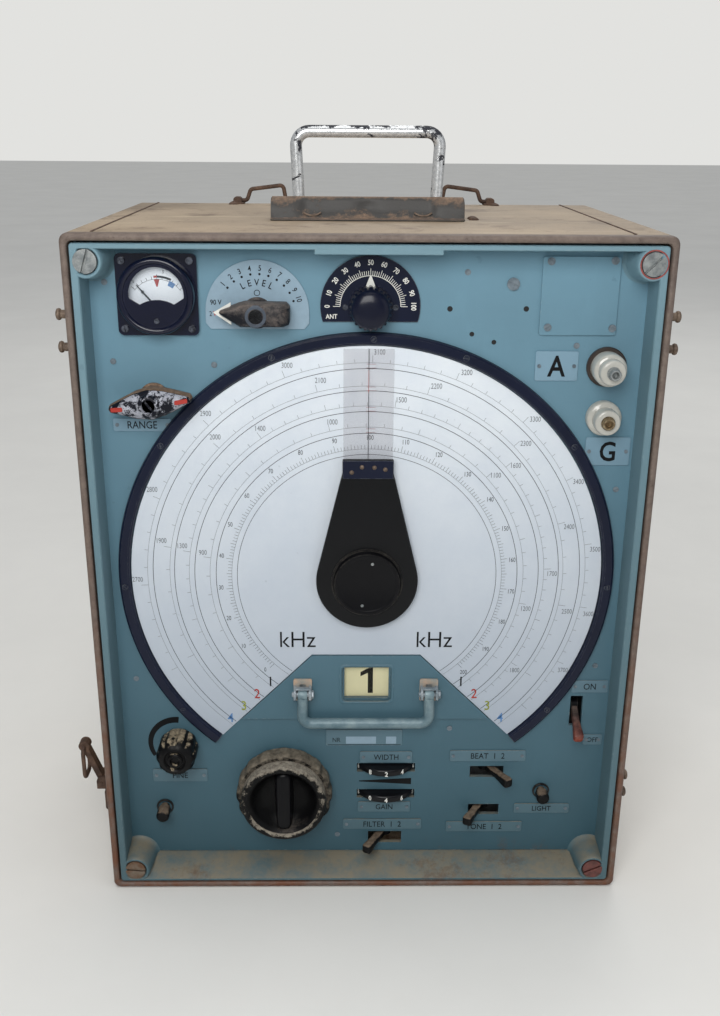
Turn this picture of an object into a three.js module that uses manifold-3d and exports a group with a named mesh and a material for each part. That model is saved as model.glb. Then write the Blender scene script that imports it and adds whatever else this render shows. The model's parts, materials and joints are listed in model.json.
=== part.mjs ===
// Portable shortwave receiver in a steel pack case, as separate solids.
// Units are millimetres. X points to the receiver's right-hand side as seen from the front,
// Y points from the front into the case, Z points up. The origin is the centre of the case's
// bottom face. Heights called "h" are measured from the panel's front face towards the user.
import * as THREE from 'three';
import { mergeVertices } from 'three/addons/utils/BufferGeometryUtils.js';
import Module from 'manifold-3d';

const wasm = await Module();
wasm.setup();

// ---------------------------------------------------------------- driving dimensions
const GAP = 0.3;                                  // running gap between neighbouring solids
const CASE = { width: 365, height: 464, depth: 256, wall: 2.2, rim: 4.5, rimDepth: 8, corner: 5 };
const FRONT_Y = -CASE.depth / 2;
const RECESS = 22;                                // the panel's depth behind the case's rim
const PANEL_Y = FRONT_Y + RECESS;
const PANEL_T = 3;
const FRAME = { halfWidth: 176.8, bottom: 5.7, top: 458.3, innerHalf: 172.3, innerBottom: 8.0,
  innerTop: 455.0, ledgeHalf: 166, backY: -64.3 };
const BOSS = { topX: 168, topZ: 447.7, bottomX: 166, bottomZ: 15, frontR: 9.3, backR: 12.8 };
const DECK = { bulkheadY: -64, thick: 3, z: 183, backY: 108, halfWidth: 160 };

const DIAL = { x: 0, z: 237, scaleR: 157.7, ringInner: 158.2, ringOuter: 166.5, cut: -20.1,
  cutTop: -57.6, scaleFront: 1.5, ringFront: 4 };
const POINTER = { hubR: 34, neckHalf: 16.5, neckTop: 76, top: 85, capR: 22.5, shaftR: 6 };
const BAND_WINDOW = { x: 0.5, z: 156.5, width: 34, height: 27 };
const METER = { x: -129.8, z: 425.8, flange: 49.6, bodyR: 23.5, caseR: 21.5, pivotX: 0.7,
  pivotDrop: 8.1, needleAngle: -41 };
const SELECTOR = { x: -69, z: 415, plateR: 32 };
const ANTENNA = { x: 0.6, z: 419, plateR: 31, plateBottom: -10 };
const RANGE = { x: -135.5, z: 361, tip: 26, tilt: 7.4, turretR: 36 };
const TUNING = { x: -58, z: 71, rearR: 34.4, frontR: 30.3, shaftR: 5 };
const FINE = { x: -132.5, z: 108, r: 14 };
const WHEEL = { x: 15.2, r: 23, thick: 5.5, proud: 9, slot: 42 };
const BAND_DISC = { x: 34.5, z: 156.5, r: 53 };
const TERMINALS = { antenna: [149.6, 381.9], earth: [150.2, 349] };
const BUTTONS = { left: [-145.6, 54.8, 14], right: [128.4, 67.9, 12] };
const BUTTON_R = 4.6;
const LEVER = { pivotH: -10, lean: 29, reach: 29.5, halfWidth: 3, thick: 5, hubR: 5 };
const LEVER_SLOTS = {
  mode_lever: { x: 88.2, z: 83.8, width: 24.4, height: 9.3, side: 1 },
  tone_lever: { x: 87.2, z: 51.6, width: 22.5, height: 8.8, side: -1 },
  filter_lever: { x: 15.0, z: 27.6, width: 24.6, height: 9.8, side: -1 },
};
const POWER_SLOT = { x: 149.3, z: 134, width: 8.8, height: 24 };
const BAIL = { legX: 43.9, pivotZ: 152, barZ: 130, pivotH: 8.4, rodR: 3.2, eyeR: 3.8, boreR: 2.1 };
const HANDLE = { y: -19, pivotZ: 471, top: 524, half: 52.2, footHalf: 50, rodR: 4, pinX: 60.4 };
const HANDLE_BASE = { half: 64.6, frontY: -35, backY: -8, top: 479, rib: 3.4 };
const LOOP = { y: 121, z: 466.6, outerX: 93.5, innerX: 62.5, rodR: 1.6 };
const CATCH = { y: -112, pivotX: -187.5, pivotZ: 83, endX: -198.2, endZ: 111, width: 8 };
const STUDS = [[1, 415, 8], [1, 395, 8], [-1, 415, 8], [-1, 395, 8], [1, 88, 5], [1, 74, 5]];
const STUD = { y: -116, r: 3.7 };
const SHAFT = { r: 3, bore: 3.4, back: -9 };      // the small controls' shafts and their panel holes
const SCALE_PLATE_FRONT = 1.1;
const COVER_PLATE = { x0: 105.5, z0: 401.7, x1: 153.5, z1: 450, front: 1.6 };
const TUBES = { x: [-70, 0, 70], y: 75 };
const TRANSFORMER = { x0: 72, x1: 132, y0: -20, y1: 40, height: 62 };
const GEAR = { module: 3, main: 48, idler: 29, pinion: 12, h: -22, thick: 4 };
const CAPACITOR = { plates: 4, first: -48, pitch: 16, plateR: 34, hubR: 9 };

// ---------------------------------------------------------------- finishes
// Colour, roughness and metalness of each.
const FINISHES = {
  case_paint: ['#8d7a67', 0.75, 0.2],
  worn_steel: ['#8b8a88', 0.4, 0.9],
  rusty_steel: ['#5f4a3b', 0.8, 0.5],
  panel_paint: ['#55798a', 0.55, 0.1],
  screw_steel: ['#9fa3a5', 0.4, 0.9],
  black_enamel: ['#1a1b22', 0.35, 0.1],
  black_plastic: ['#141416', 0.4, 0.0],
  dial_white: ['#e6ecf2', 0.5, 0.0],
  scale_blue: ['#8aa3b5', 0.5, 0.2],
  clear_plastic: ['#dfe7ea', 0.1, 0.0],
  cream_plastic: ['#c8c39b', 0.5, 0.0],
  ceramic: ['#d7d2c3', 0.25, 0.0],
  red_brown: ['#6a3324', 0.5, 0.0],
  brass: ['#b59a54', 0.35, 0.9],
  aluminium: ['#a9adb0', 0.45, 0.9],
  tube_glass: ['#9fa8a8', 0.1, 0.0],
  needle_black: ['#101010', 0.5, 0.2],
};

// ---------------------------------------------------------------- mesh and solid helpers
function indexed(geometry) {
  const bare = geometry.clone();
  bare.deleteAttribute('normal');
  bare.deleteAttribute('uv');
  return mergeVertices(bare, 1e-4);
}

function signedVolume(geometry) {
  const p = geometry.getAttribute('position');
  const ids = geometry.getIndex().array;
  const [a, b, c] = [new THREE.Vector3(), new THREE.Vector3(), new THREE.Vector3()];
  let sum = 0;
  for (let i = 0; i < ids.length; i += 3) {
    a.fromBufferAttribute(p, ids[i]);
    b.fromBufferAttribute(p, ids[i + 1]);
    c.fromBufferAttribute(p, ids[i + 2]);
    sum += a.dot(b.cross(c));
  }
  return sum / 6;
}

function toSolid(geometry) {
  const merged = indexed(geometry);
  const triVerts = Uint32Array.from(merged.getIndex().array);
  if (signedVolume(merged) < 0) {
    for (let i = 0; i < triVerts.length; i += 3) {
      [triVerts[i + 1], triVerts[i + 2]] = [triVerts[i + 2], triVerts[i + 1]];
    }
  }
  const vertProperties = Float32Array.from(merged.getAttribute('position').array);
  return new wasm.Manifold(new wasm.Mesh({ numProp: 3, vertProperties, triVerts }));
}

function toGeometry(solid) {
  const mesh = solid.getMesh();
  const geometry = new THREE.BufferGeometry();
  geometry.setAttribute('position', new THREE.BufferAttribute(Float32Array.from(mesh.vertProperties), 3));
  geometry.setIndex(new THREE.BufferAttribute(Uint32Array.from(mesh.triVerts), 1));
  geometry.computeVertexNormals();
  return geometry;
}

const join = (first, ...rest) => rest.reduce((sum, piece) => sum.add(piece), first);
const cut = (first, ...rest) => rest.reduce((left, piece) => left.subtract(piece), first);

// ---------------------------------------------------------------- shape helpers, drawn in X and Z
function rectShape(x0, z0, x1, z1, radius = 0) {
  const corners = [[x1, z0, -1, 1], [x1, z1, -1, -1], [x0, z1, 1, -1], [x0, z0, 1, 1]];
  const points = corners.flatMap(([x, z, inX, inZ], quarter) => {
    if (radius === 0) {
      return [[x, z]];
    }
    return [0, 1, 2].map((step) => {
      const turn = (quarter - 1 + step / 2) * (Math.PI / 2);
      return [x + inX * radius + radius * Math.cos(turn), z + inZ * radius + radius * Math.sin(turn)];
    });
  });
  return polygonShape(points);
}

const centredRect = (x, z, width, height, radius = 0) =>
  rectShape(x - width / 2, z - height / 2, x + width / 2, z + height / 2, radius);

function circleShape(x, z, radius) {
  const shape = new THREE.Shape();
  shape.absarc(x, z, radius, 0, Math.PI * 2, false);
  return shape;
}

function polygonShape(points) {
  return new THREE.Shape(points.map(([x, z]) => new THREE.Vector2(x, z)));
}

function withHoles(shape, ...holes) {
  shape.holes.push(...holes);
  return shape;
}

// A plate drawn in X and Z, between the heights hBack and hFront over the y = 0 plane.
function plate(shape, hBack, hFront, curveSegments = 5) {
  const geometry = new THREE.ExtrudeGeometry(shape, { depth: hFront - hBack, bevelEnabled: false,
    curveSegments });
  geometry.rotateX(Math.PI / 2);
  geometry.translate(0, -hBack, 0);
  return toSolid(geometry);
}

// A body turned about the Y axis. Profile points are [radius, height towards the front].
function turned(profile, segments = 16) {
  const points = profile.map(([radius, h]) => new THREE.Vector2(radius, h));
  const geometry = new THREE.LatheGeometry(points, segments);
  geometry.rotateX(Math.PI);
  return toSolid(geometry);
}

const disc = (radius, hBack, hFront, segments = 16) =>
  turned([[0, hBack], [radius, hBack], [radius, hFront], [0, hFront]], segments);

function block(x0, y0, z0, x1, y1, z1) {
  const geometry = new THREE.BoxGeometry(x1 - x0, y1 - y0, z1 - z0);
  geometry.translate((x0 + x1) / 2, (y0 + y1) / 2, (z0 + z1) / 2);
  return toSolid(geometry);
}

// A round rod of the given radius through straight runs with rounded bends.
function rod(corners, radius, bendRadius, sides = 8) {
  const points = corners.map((p) => new THREE.Vector3(...p));
  const path = [points[0]];
  for (let i = 1; i < points.length - 1; i += 1) {
    const back = points[i - 1].clone().sub(points[i]).normalize();
    const ahead = points[i + 1].clone().sub(points[i]).normalize();
    const reach = bendRadius / Math.tan(back.angleTo(ahead) / 2);
    const start = points[i].clone().addScaledVector(back, reach);
    const end = points[i].clone().addScaledVector(ahead, reach);
    const bend = new THREE.QuadraticBezierCurve3(start, points[i], end);
    path.push(...bend.getPoints(3));
  }
  path.push(points[points.length - 1]);
  return sweep(path, radius, sides);
}

// Round sections in the planes that halve each bend, closed with flat ends.
function sweep(path, radius, sides) {
  const positions = [];
  const ids = [];
  const normal = new THREE.Vector3();
  path.forEach((point, i) => {
    const before = path[Math.max(i - 1, 0)];
    const after = path[Math.min(i + 1, path.length - 1)];
    const along = after.clone().sub(before).normalize();
    if (i === 0) {
      const helper = Math.abs(along.y) < 0.9 ? new THREE.Vector3(0, 1, 0) : new THREE.Vector3(1, 0, 0);
      normal.copy(helper);
    }
    normal.addScaledVector(along, -normal.dot(along)).normalize();
    const side = along.clone().cross(normal);
    for (let k = 0; k < sides; k += 1) {
      const turn = (k / sides) * Math.PI * 2;
      const rim = point.clone().addScaledVector(normal, radius * Math.cos(turn));
      rim.addScaledVector(side, radius * Math.sin(turn));
      positions.push(rim.x, rim.y, rim.z);
    }
  });
  const last = (path.length - 1) * sides;
  for (let k = 0; k < sides; k += 1) {
    const next = (k + 1) % sides;
    for (let i = 0; i < path.length - 1; i += 1) {
      const a = i * sides;
      ids.push(a + k, a + next, a + sides + next, a + k, a + sides + next, a + sides + k);
    }
    if (k > 0 && k < sides - 1) {
      ids.push(0, k + 1, k, last, last + k, last + k + 1);
    }
  }
  const geometry = new THREE.BufferGeometry();
  geometry.setAttribute('position', new THREE.Float32BufferAttribute(positions, 3));
  geometry.setIndex(ids);
  return toSolid(geometry);
}

// ---------------------------------------------------------------- the scene graph
const receiver = new THREE.Group();

function add(name, solid, finish, position = [0, 0, 0], rotation = [0, 0, 0], parent = receiver) {
  const [color, roughness, metalness] = FINISHES[finish];
  const material = new THREE.MeshStandardMaterial({ color, roughness, metalness });
  const mesh = new THREE.Mesh(toGeometry(solid), material);
  mesh.name = name;
  mesh.position.set(...position);
  mesh.rotation.set(...rotation);
  parent.add(mesh);
  return mesh;
}

// Pieces on the panel share a group whose y = 0 plane is the panel's front face.
const onPanel = new THREE.Group();
onPanel.position.set(0, PANEL_Y, 0);
receiver.add(onPanel);
const addOnPanel = (name, solid, finish, x = 0, z = 0, rotation = [0, 0, 0], y = 0) =>
  add(name, solid, finish, [x, y, z], rotation, onPanel);

// ---------------------------------------------------------------- case
function caseShell() {
  const half = CASE.width / 2;
  const inner = half - CASE.wall;
  const rimInner = half - CASE.rim;
  const shell = plate(rectShape(-half, 0, half, CASE.height, CASE.corner), 0, CASE.depth);
  const hollow = plate(rectShape(-inner, CASE.wall, inner, CASE.height - CASE.wall, 3),
    CASE.wall, CASE.depth - CASE.rimDepth);
  const mouth = plate(rectShape(-rimInner, CASE.rim, rimInner, CASE.height - CASE.rim, 3),
    CASE.depth - CASE.rimDepth - 1, CASE.depth + 1);
  const open = cut(shell, hollow, mouth).translate([0, CASE.depth / 2, 0]);
  return join(open, ...STUDS.map(sideStud), ...loopClips(), catchBracket());
}

function sideStud([side, z, proud]) {
  const profile = [[0, -1], [STUD.r, -1], [STUD.r, proud - 2.5], [STUD.r * 0.7, proud - 0.6], [0, proud]];
  const stud = turned(profile, 8).rotate([0, 0, side > 0 ? 90 : -90]);
  return stud.translate([side * CASE.width / 2, STUD.y, z]);
}

function loopClips() {
  const clips = [];
  for (const side of [-1, 1]) {
    for (const x of [LOOP.outerX + 7.4, LOOP.innerX - 7.4]) {
      clips.push(block(side * x - 3, LOOP.y - 5, CASE.height - 1, side * x + 3, LOOP.y + 5,
        CASE.height + 5.5));
    }
  }
  return clips;
}

function catchBracket() {
  const wallX = -CASE.width / 2 + 1;
  const earGap = CATCH.width / 2 + 0.5;
  const ears = [-1, 1].map((side) => {
    const inner = CATCH.y + side * earGap;
    const outer = CATCH.y + side * (earGap + 2.5);
    return block(CATCH.pivotX - 3.2, Math.min(inner, outer), CATCH.pivotZ - 5, wallX,
      Math.max(inner, outer), CATCH.pivotZ + 5);
  });
  const foot = block(-CASE.width / 2 - 4.5, CATCH.y - 7, 60, wallX, CATCH.y + 7, CATCH.pivotZ - 6);
  const pin = disc(1.5, -earGap - 1, earGap + 1, 8).translate([CATCH.pivotX, CATCH.y, CATCH.pivotZ]);
  return join(...ears, pin, foot);
}

add('case_shell', caseShell(), 'case_paint');

// ---------------------------------------------------------------- carrying handle
function handleBase() {
  const { half, frontY, backY, top, rib } = HANDLE_BASE;
  const z = CASE.height + GAP;
  const floor = block(-half, frontY, z, half, backY, z + 2);
  const steps = 4;
  const outer = [];
  const inner = [];
  for (let i = 0; i <= steps; i += 1) {
    const turn = (i / steps) * (Math.PI / 2);
    const y = frontY + 2 + 7.5 * (1 - Math.cos(turn));
    const height = z + 1 + (top - z - 1) * Math.sin(turn);
    outer.push([y, height]);
    inner.unshift([y + 1.8, Math.min(height, top) - (i === 0 ? 0 : 0.4)]);
  }
  const sheet = profileAlongX([...outer, ...inner], -half, half);
  const ends = [-1, 1].map((side) => profileAlongX(
    [[frontY + 3, z + 1], [backY - 2, z + 1], [backY - 6, top - 3], [frontY + 9.6, top - 0.6]],
    side > 0 ? half - rib : -half, side > 0 ? half : -half + rib));
  return join(floor, sheet, ...ends);
}

// A prism along X whose outline is drawn in Y and Z.
function profileAlongX(points, x0, x1) {
  const shape = new THREE.Shape(points.map(([y, z]) => new THREE.Vector2(y, z)));
  const geometry = new THREE.ExtrudeGeometry(shape, { depth: x1 - x0, bevelEnabled: false });
  const swap = new THREE.Matrix4().set(0, 0, 1, x0, 1, 0, 0, 0, 0, 1, 0, 0, 0, 0, 0, 1);
  geometry.applyMatrix4(swap);
  return toSolid(geometry);
}

add('carry_handle_base', handleBase(), 'case_paint');
add('carry_handle', rod([
  [-HANDLE.pinX, 0, 0],
  [-HANDLE.footHalf + HANDLE.rodR, 0, 0],
  [-HANDLE.half + HANDLE.rodR, 0, HANDLE.top - HANDLE.pivotZ - HANDLE.rodR],
  [HANDLE.half - HANDLE.rodR, 0, HANDLE.top - HANDLE.pivotZ - HANDLE.rodR],
  [HANDLE.footHalf - HANDLE.rodR, 0, 0],
  [HANDLE.pinX, 0, 0]], HANDLE.rodR, 5), 'worn_steel', [0, HANDLE.y, HANDLE.pivotZ]);

// ---------------------------------------------------------------- strap loops on the rear edge
for (const [name, side] of [['strap_loop_left', -1], ['strap_loop_right', 1]]) {
  const corners = [
    [side * (LOOP.outerX + 4), 0, 0], [side * LOOP.outerX, 0, 0], [side * (LOOP.outerX - 3), 0, 8.5],
    [side * (LOOP.innerX + 2), 0, 11.8], [side * LOOP.innerX, 0, 0], [side * (LOOP.innerX - 4), 0, 0]];
  add(name, rod(corners, LOOP.rodR, 1.8, 6), 'rusty_steel', [0, LOOP.y, LOOP.z]);
}

// ---------------------------------------------------------------- cover catch on the left side
const catchRise = CATCH.endZ - CATCH.pivotZ;
const catchRun = CATCH.endX - CATCH.pivotX;
const catchLength = Math.hypot(catchRise, catchRun);

function catchLever() {
  const bar = rectShape(-2.2, 0, 2.2, catchLength);
  const half = CATCH.width / 2;
  const end = disc(half, -half, half, 12).translate([0, 0, catchLength]);
  const body = join(plate(bar, -half, half), disc(half - 0.4, -half, half, 12), end);
  const bores = join(disc(1.9, -5, 5, 8), disc(2.9, -5, 5, 8).translate([0, 0, catchLength]));
  return cut(body, bores);
}

function catchLink() {
  const outline = withHoles(rectShape(-9, -25, 9, 1.5, 4), rectShape(-6, -22, 6, -1.5, 1.5));
  return plate(outline, -1.5, 1.5).rotate([0, 0, 90]);
}

add('catch_lever', catchLever(), 'rusty_steel', [CATCH.pivotX, CATCH.y, CATCH.pivotZ],
  [0, Math.atan2(catchRun, catchRise), 0]);
add('catch_link', catchLink(), 'rusty_steel', [CATCH.endX, CATCH.y, CATCH.endZ]);

// ---------------------------------------------------------------- chassis frame, panel and deck
const bossPlaces = [[-BOSS.topX, BOSS.topZ], [BOSS.topX, BOSS.topZ], [-BOSS.bottomX, BOSS.bottomZ],
  [BOSS.bottomX, BOSS.bottomZ]];

function chassisFrame() {
  const { halfWidth, bottom, top, innerHalf, innerBottom, innerTop, ledgeHalf, backY } = FRAME;
  const front = -FRONT_Y;
  const outline = () => rectShape(-halfWidth, bottom, halfWidth, top, 2);
  const walls = plate(withHoles(outline(), rectShape(-innerHalf, innerBottom, innerHalf, innerTop)),
    -backY, front);
  const behindPanel = -PANEL_Y - PANEL_T - GAP;
  const ledge = plate(withHoles(outline(), rectShape(-ledgeHalf, 21, ledgeHalf, 449)),
    behindPanel - 4, behindPanel);
  const sill = profileAlongX([[FRONT_Y + 0.4, innerBottom - 1], [FRONT_Y + 0.4, innerBottom + 0.4],
    [PANEL_Y, 15.3], [PANEL_Y + 6, 15.3], [PANEL_Y + 6, innerBottom - 1]], -innerHalf - 1, innerHalf + 1);
  const lip = block(-33, FRONT_Y, innerTop - 2.5, 43, FRONT_Y + 4, innerTop + 1);
  const bosses = bossPlaces.map(([x, z]) => turned([[0, behindPanel - 4], [BOSS.backR, behindPanel - 4],
    [BOSS.backR, -PANEL_Y], [BOSS.frontR, front - 0.6], [0, front - 0.6]]).translate([x, 0, z]));
  const envelope = plate(outline(), -backY, front);
  const body = join(walls, ledge, sill, lip, ...bosses).intersect(envelope);
  const bores = bossPlaces.map(([x, z]) => join(disc(3.4, 90, 140, 12),
    disc(7.5, front - 3.4, 140)).translate([x, 0, z]));
  return cut(body, ...bores);
}

function panelHoles() {
  const { antenna, earth } = TERMINALS;
  const holes = [
    circleShape(METER.x, METER.z, METER.caseR + 2),
    circleShape(SELECTOR.x, SELECTOR.z, SHAFT.bore),
    circleShape(ANTENNA.x, ANTENNA.z, SHAFT.bore),
    circleShape(...antenna, SHAFT.bore),
    circleShape(...earth, SHAFT.bore),
    circleShape(RANGE.x, RANGE.z, 4.4),
    circleShape(DIAL.x, DIAL.z, POINTER.shaftR + 0.5),
    circleShape(TUNING.x, TUNING.z, TUNING.shaftR + 0.5),
    circleShape(FINE.x, FINE.z, SHAFT.bore),
    centredRect(BAND_WINDOW.x, BAND_WINDOW.z, BAND_WINDOW.width - 3, BAND_WINDOW.height - 3),
    centredRect(POWER_SLOT.x, POWER_SLOT.z, POWER_SLOT.width, POWER_SLOT.height),
  ];
  for (const [x, z] of Object.values(BUTTONS)) {
    holes.push(circleShape(x, z, SHAFT.bore));
  }
  for (const slot of Object.values(LEVER_SLOTS)) {
    holes.push(centredRect(slot.x, slot.z, slot.width, slot.height));
  }
  for (const z of wheelCentres) {
    holes.push(centredRect(WHEEL.x, z, WHEEL.slot, WHEEL.thick + 1.6));
  }
  return holes;
}

const wheelCentres = [87.4, 65.4];

function frontPanel() {
  const outline = withHoles(rectShape(-171.8, 15.8, 171.8, 454.6), ...panelHoles());
  const sheet = plate(outline, -PANEL_T, 0);
  const notches = bossPlaces.map(([x, z]) => disc(BOSS.backR + GAP, -PANEL_T - 1, 1).translate([x, 0, z]));
  return cut(sheet, ...notches);
}

function chassisDeck() {
  const { bulkheadY, thick, z, backY, halfWidth } = DECK;
  const holes = [circleShape(DIAL.x, DIAL.z, POINTER.shaftR + 1), circleShape(RANGE.x, RANGE.z, 5),
    circleShape(BAND_DISC.x, BAND_DISC.z, SHAFT.bore)];
  const bulkhead = plate(withHoles(rectShape(-FRAME.halfWidth, 12, FRAME.halfWidth, 452), ...holes),
    -bulkheadY - thick, -bulkheadY);
  const deck = block(-halfWidth, bulkheadY + thick - 0.5, z - 3, halfWidth, backY, z);
  const axle = disc(4, -bulkheadY - 1, -PANEL_Y + GEAR.h + 3, 16).translate([idler.x, 0, idler.z]);
  return join(bulkhead, deck, axle);
}

// ---------------------------------------------------------------- reduction gears behind the panel
const pitchRadius = (teeth) => (GEAR.module * teeth) / 2;

// The idler's centre: it meshes with the main gear and with the pinion.
function idlerPlace() {
  const toMain = pitchRadius(GEAR.main + GEAR.idler);
  const toPinion = pitchRadius(GEAR.idler + GEAR.pinion);
  const dx = TUNING.x - DIAL.x;
  const dz = TUNING.z - DIAL.z;
  const span = Math.hypot(dx, dz);
  const along = (toMain ** 2 - toPinion ** 2 + span ** 2) / (2 * span);
  const off = Math.sqrt(Math.max(toMain ** 2 - along ** 2, 0));
  return { x: DIAL.x + (dx * along + dz * off) / span, z: DIAL.z + (dz * along - dx * off) / span };
}

const idler = idlerPlace();

function gearSolid(teeth, phase, bore) {
  const pitch = (Math.PI * 2) / teeth;
  const tip = pitchRadius(teeth) + 0.8 * GEAR.module;
  const root = pitchRadius(teeth) - 1.1 * GEAR.module;
  const points = [];
  for (let i = 0; i < teeth; i += 1) {
    const middle = phase + i * pitch;
    for (const [radius, offset] of [[root, -0.3], [tip, -0.12], [tip, 0.12], [root, 0.3]]) {
      const turn = middle + offset * pitch;
      points.push([radius * Math.cos(turn), radius * Math.sin(turn)]);
    }
  }
  const body = plate(polygonShape(points), GEAR.h, GEAR.h + GEAR.thick);
  return cut(body, disc(bore, GEAR.h - 1, GEAR.h + GEAR.thick + 1));
}

// The angle that puts a gap of the driven gear where the driver has a tooth.
function meshPhase(from, fromTeeth, fromPhase, to, toTeeth) {
  const line = Math.atan2(to.z - from.z, to.x - from.x);
  const pitch = (Math.PI * 2) / fromTeeth;
  const nearest = fromPhase + Math.round((line - fromPhase) / pitch) * pitch;
  const arc = (nearest - line) * pitchRadius(fromTeeth);
  return line + Math.PI - arc / pitchRadius(toTeeth) + Math.PI / toTeeth;
}

const idlerPhase = meshPhase(DIAL, GEAR.main, 0, idler, GEAR.idler);
const pinionPhase = meshPhase(idler, GEAR.idler, idlerPhase, TUNING, GEAR.pinion);

add('chassis_frame', chassisFrame(), 'panel_paint');
addOnPanel('front_panel', frontPanel(), 'panel_paint');
add('chassis_deck', chassisDeck(), 'aluminium');
bossPlaces.forEach(([x, z], i) => {
  const front = -FRONT_Y;
  const profile = [[0, 92], [3, 92], [3, front - 3], [7, front - 3], [7, front - 0.9], [6.4, front - 0.3],
    [0, front - 0.3]];
  const slot = block(-8, -front - 1, -0.7, 8, -front + 1.6, 0.7);
  add(`captive_screw_${i + 1}`, cut(turned(profile, 16), slot), 'screw_steel', [x, 0, z]);
});

// ---------------------------------------------------------------- meter
function meterHousing() {
  const side = METER.flange / 2;
  const flange = plate(rectShape(-side, -side, side, side, 3), GAP, 3.2);
  const barrel = turned([[0, -28], [METER.caseR, -28], [METER.caseR, GAP], [METER.bodyR, GAP],
    [METER.bodyR, 11], [METER.bodyR - 1.6, 12.2], [0, 12.2]], 24);
  const cavity = disc(20.6, -29, 9.4, 24);
  const window = cut(disc(16.6, 9, 13, 20), block(-20, -14, -20, 20, 0, -4.6));
  return cut(join(flange, barrel), cavity, window.translate([0.7, 0, 1]));
}

addOnPanel('meter_housing', meterHousing(), 'black_enamel', METER.x, METER.z);
addOnPanel('meter_glass', disc(20, 7.9, 9.1, 24), 'clear_plastic', METER.x, METER.z);
const needleBore = disc(1.6, 2, 5, 8).translate([METER.pivotX, 0, -METER.pivotDrop]);
addOnPanel('meter_dial', cut(disc(20, 3.2, 4.2, 24), needleBore), 'dial_white', METER.x, METER.z);
const needle = join(plate(polygonShape([[-0.9, -5], [0.9, -5], [0.4, 20], [-0.4, 20]]), 5.4, 6.2),
  disc(2.2, 5.4, 6.2, 8), disc(1.2, -6, 5.6, 8));
addOnPanel('meter_needle', needle, 'needle_black', METER.x + METER.pivotX, METER.z - METER.pivotDrop,
  [0, THREE.MathUtils.degToRad(METER.needleAngle), 0]);

// ---------------------------------------------------------------- current selector
function selectorPlate() {
  const { plateR } = SELECTOR;
  const shape = new THREE.Shape();
  shape.moveTo(plateR, -10.4).lineTo(plateR, 0);
  shape.absarc(0, 0, plateR, 0, Math.PI, false);
  shape.lineTo(-plateR, -10.4);
  return plate(withHoles(shape, circleShape(0, 0, SHAFT.bore)), GAP, SCALE_PLATE_FRONT, 10);
}

function selectorKnob() {
  const body = polygonShape([[-26, 2], [-10, -7.2], [18, -7.2], [20.6, -5], [20.6, 5.5], [18, 7.6],
    [-8, 8.2]]);
  const cap = polygonShape([[-22, 2], [-8, -5], [17, -5], [17, 5.4], [-7, 5.8]]);
  return join(plate(body, 4, 13), plate(cap, 12.9, 17), disc(9, 1.5, 4.1, 16),
    disc(SHAFT.r, SHAFT.back, 2, 8));
}

addOnPanel('selector_scale_plate', selectorPlate(), 'scale_blue', SELECTOR.x, SELECTOR.z);
addOnPanel('current_selector_knob', selectorKnob(), 'black_plastic', SELECTOR.x, SELECTOR.z);

// ---------------------------------------------------------------- antenna coupling
function antennaPlate() {
  const { plateR, plateBottom } = ANTENNA;
  const low = Math.asin(plateBottom / plateR);
  const shape = new THREE.Shape();
  shape.absarc(0, 0, plateR, low, Math.PI - low, false);
  shape.closePath();
  return plate(withHoles(shape, circleShape(0, 0, SHAFT.bore)), GAP, SCALE_PLATE_FRONT, 10);
}

function antennaKnob() {
  const skirt = turned([[0, 1.8], [13.4, 1.8], [13.4, 4], [12, 5.5], [12, 15.5], [10, 17.6], [5, 18.6],
    [0, 18.8]], 20);
  return join(skirt, disc(SHAFT.r, SHAFT.back, 2, 8));
}

addOnPanel('antenna_scale_plate', antennaPlate(), 'black_enamel', ANTENNA.x, ANTENNA.z);
addOnPanel('antenna_coupling_knob', antennaKnob(), 'black_plastic', ANTENNA.x, ANTENNA.z);

// ---------------------------------------------------------------- cover plate and terminals
const coverOutline = rectShape(COVER_PLATE.x0, COVER_PLATE.z0, COVER_PLATE.x1, COVER_PLATE.z1, 1);
addOnPanel('blank_cover_plate', plate(coverOutline, GAP, COVER_PLATE.front), 'panel_paint');

const insulatorProfiles = {
  antenna: [[3.3, GAP], [12.6, GAP], [12.6, 3], [10.4, 3], [10.4, 13], [9.4, 14], [8.1, 14], [8.1, 20],
    [7.2, 21], [3.3, 21], [3.3, GAP]],
  earth: [[3.9, GAP], [11.2, GAP], [11.2, 5.2], [10.4, 6], [8.2, 6], [8.2, 15], [7.2, 16], [3.9, 16],
    [3.9, GAP]],
};
const socketProfiles = {
  antenna: [[0, SHAFT.back], [SHAFT.r, SHAFT.back], [SHAFT.r, 26.5], [2.4, 27], [1.5, 27],
    [1.5, 20], [0, 20]],
  earth: [[0, SHAFT.back], [SHAFT.r, SHAFT.back], [SHAFT.r, 0], [3.6, 0.2], [3.6, 18.5], [3, 19],
    [1.5, 19], [1.5, 12], [0, 12]],
};
for (const [name, [x, z]] of Object.entries(TERMINALS)) {
  addOnPanel(`${name}_insulator`, turned(insulatorProfiles[name], 20), 'ceramic', x, z);
  addOnPanel(`${name}_socket`, turned(socketProfiles[name], 12), 'brass', x, z);
}

// ---------------------------------------------------------------- main dial
// The angle at which a circle about the dial's centre meets the 45 degree cut line on the right.
const cutAngle = (radius) => Math.PI / 4 - Math.acos(DIAL.cut / (Math.SQRT2 * radius));

function bezelShape() {
  const outer = cutAngle(DIAL.ringOuter);
  const inner = cutAngle(DIAL.ringInner);
  const shape = new THREE.Shape();
  shape.absarc(0, 0, DIAL.ringOuter, outer, Math.PI - outer, false);
  shape.absarc(0, 0, DIAL.ringInner, Math.PI - inner, inner, true);
  return shape;
}

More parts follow.
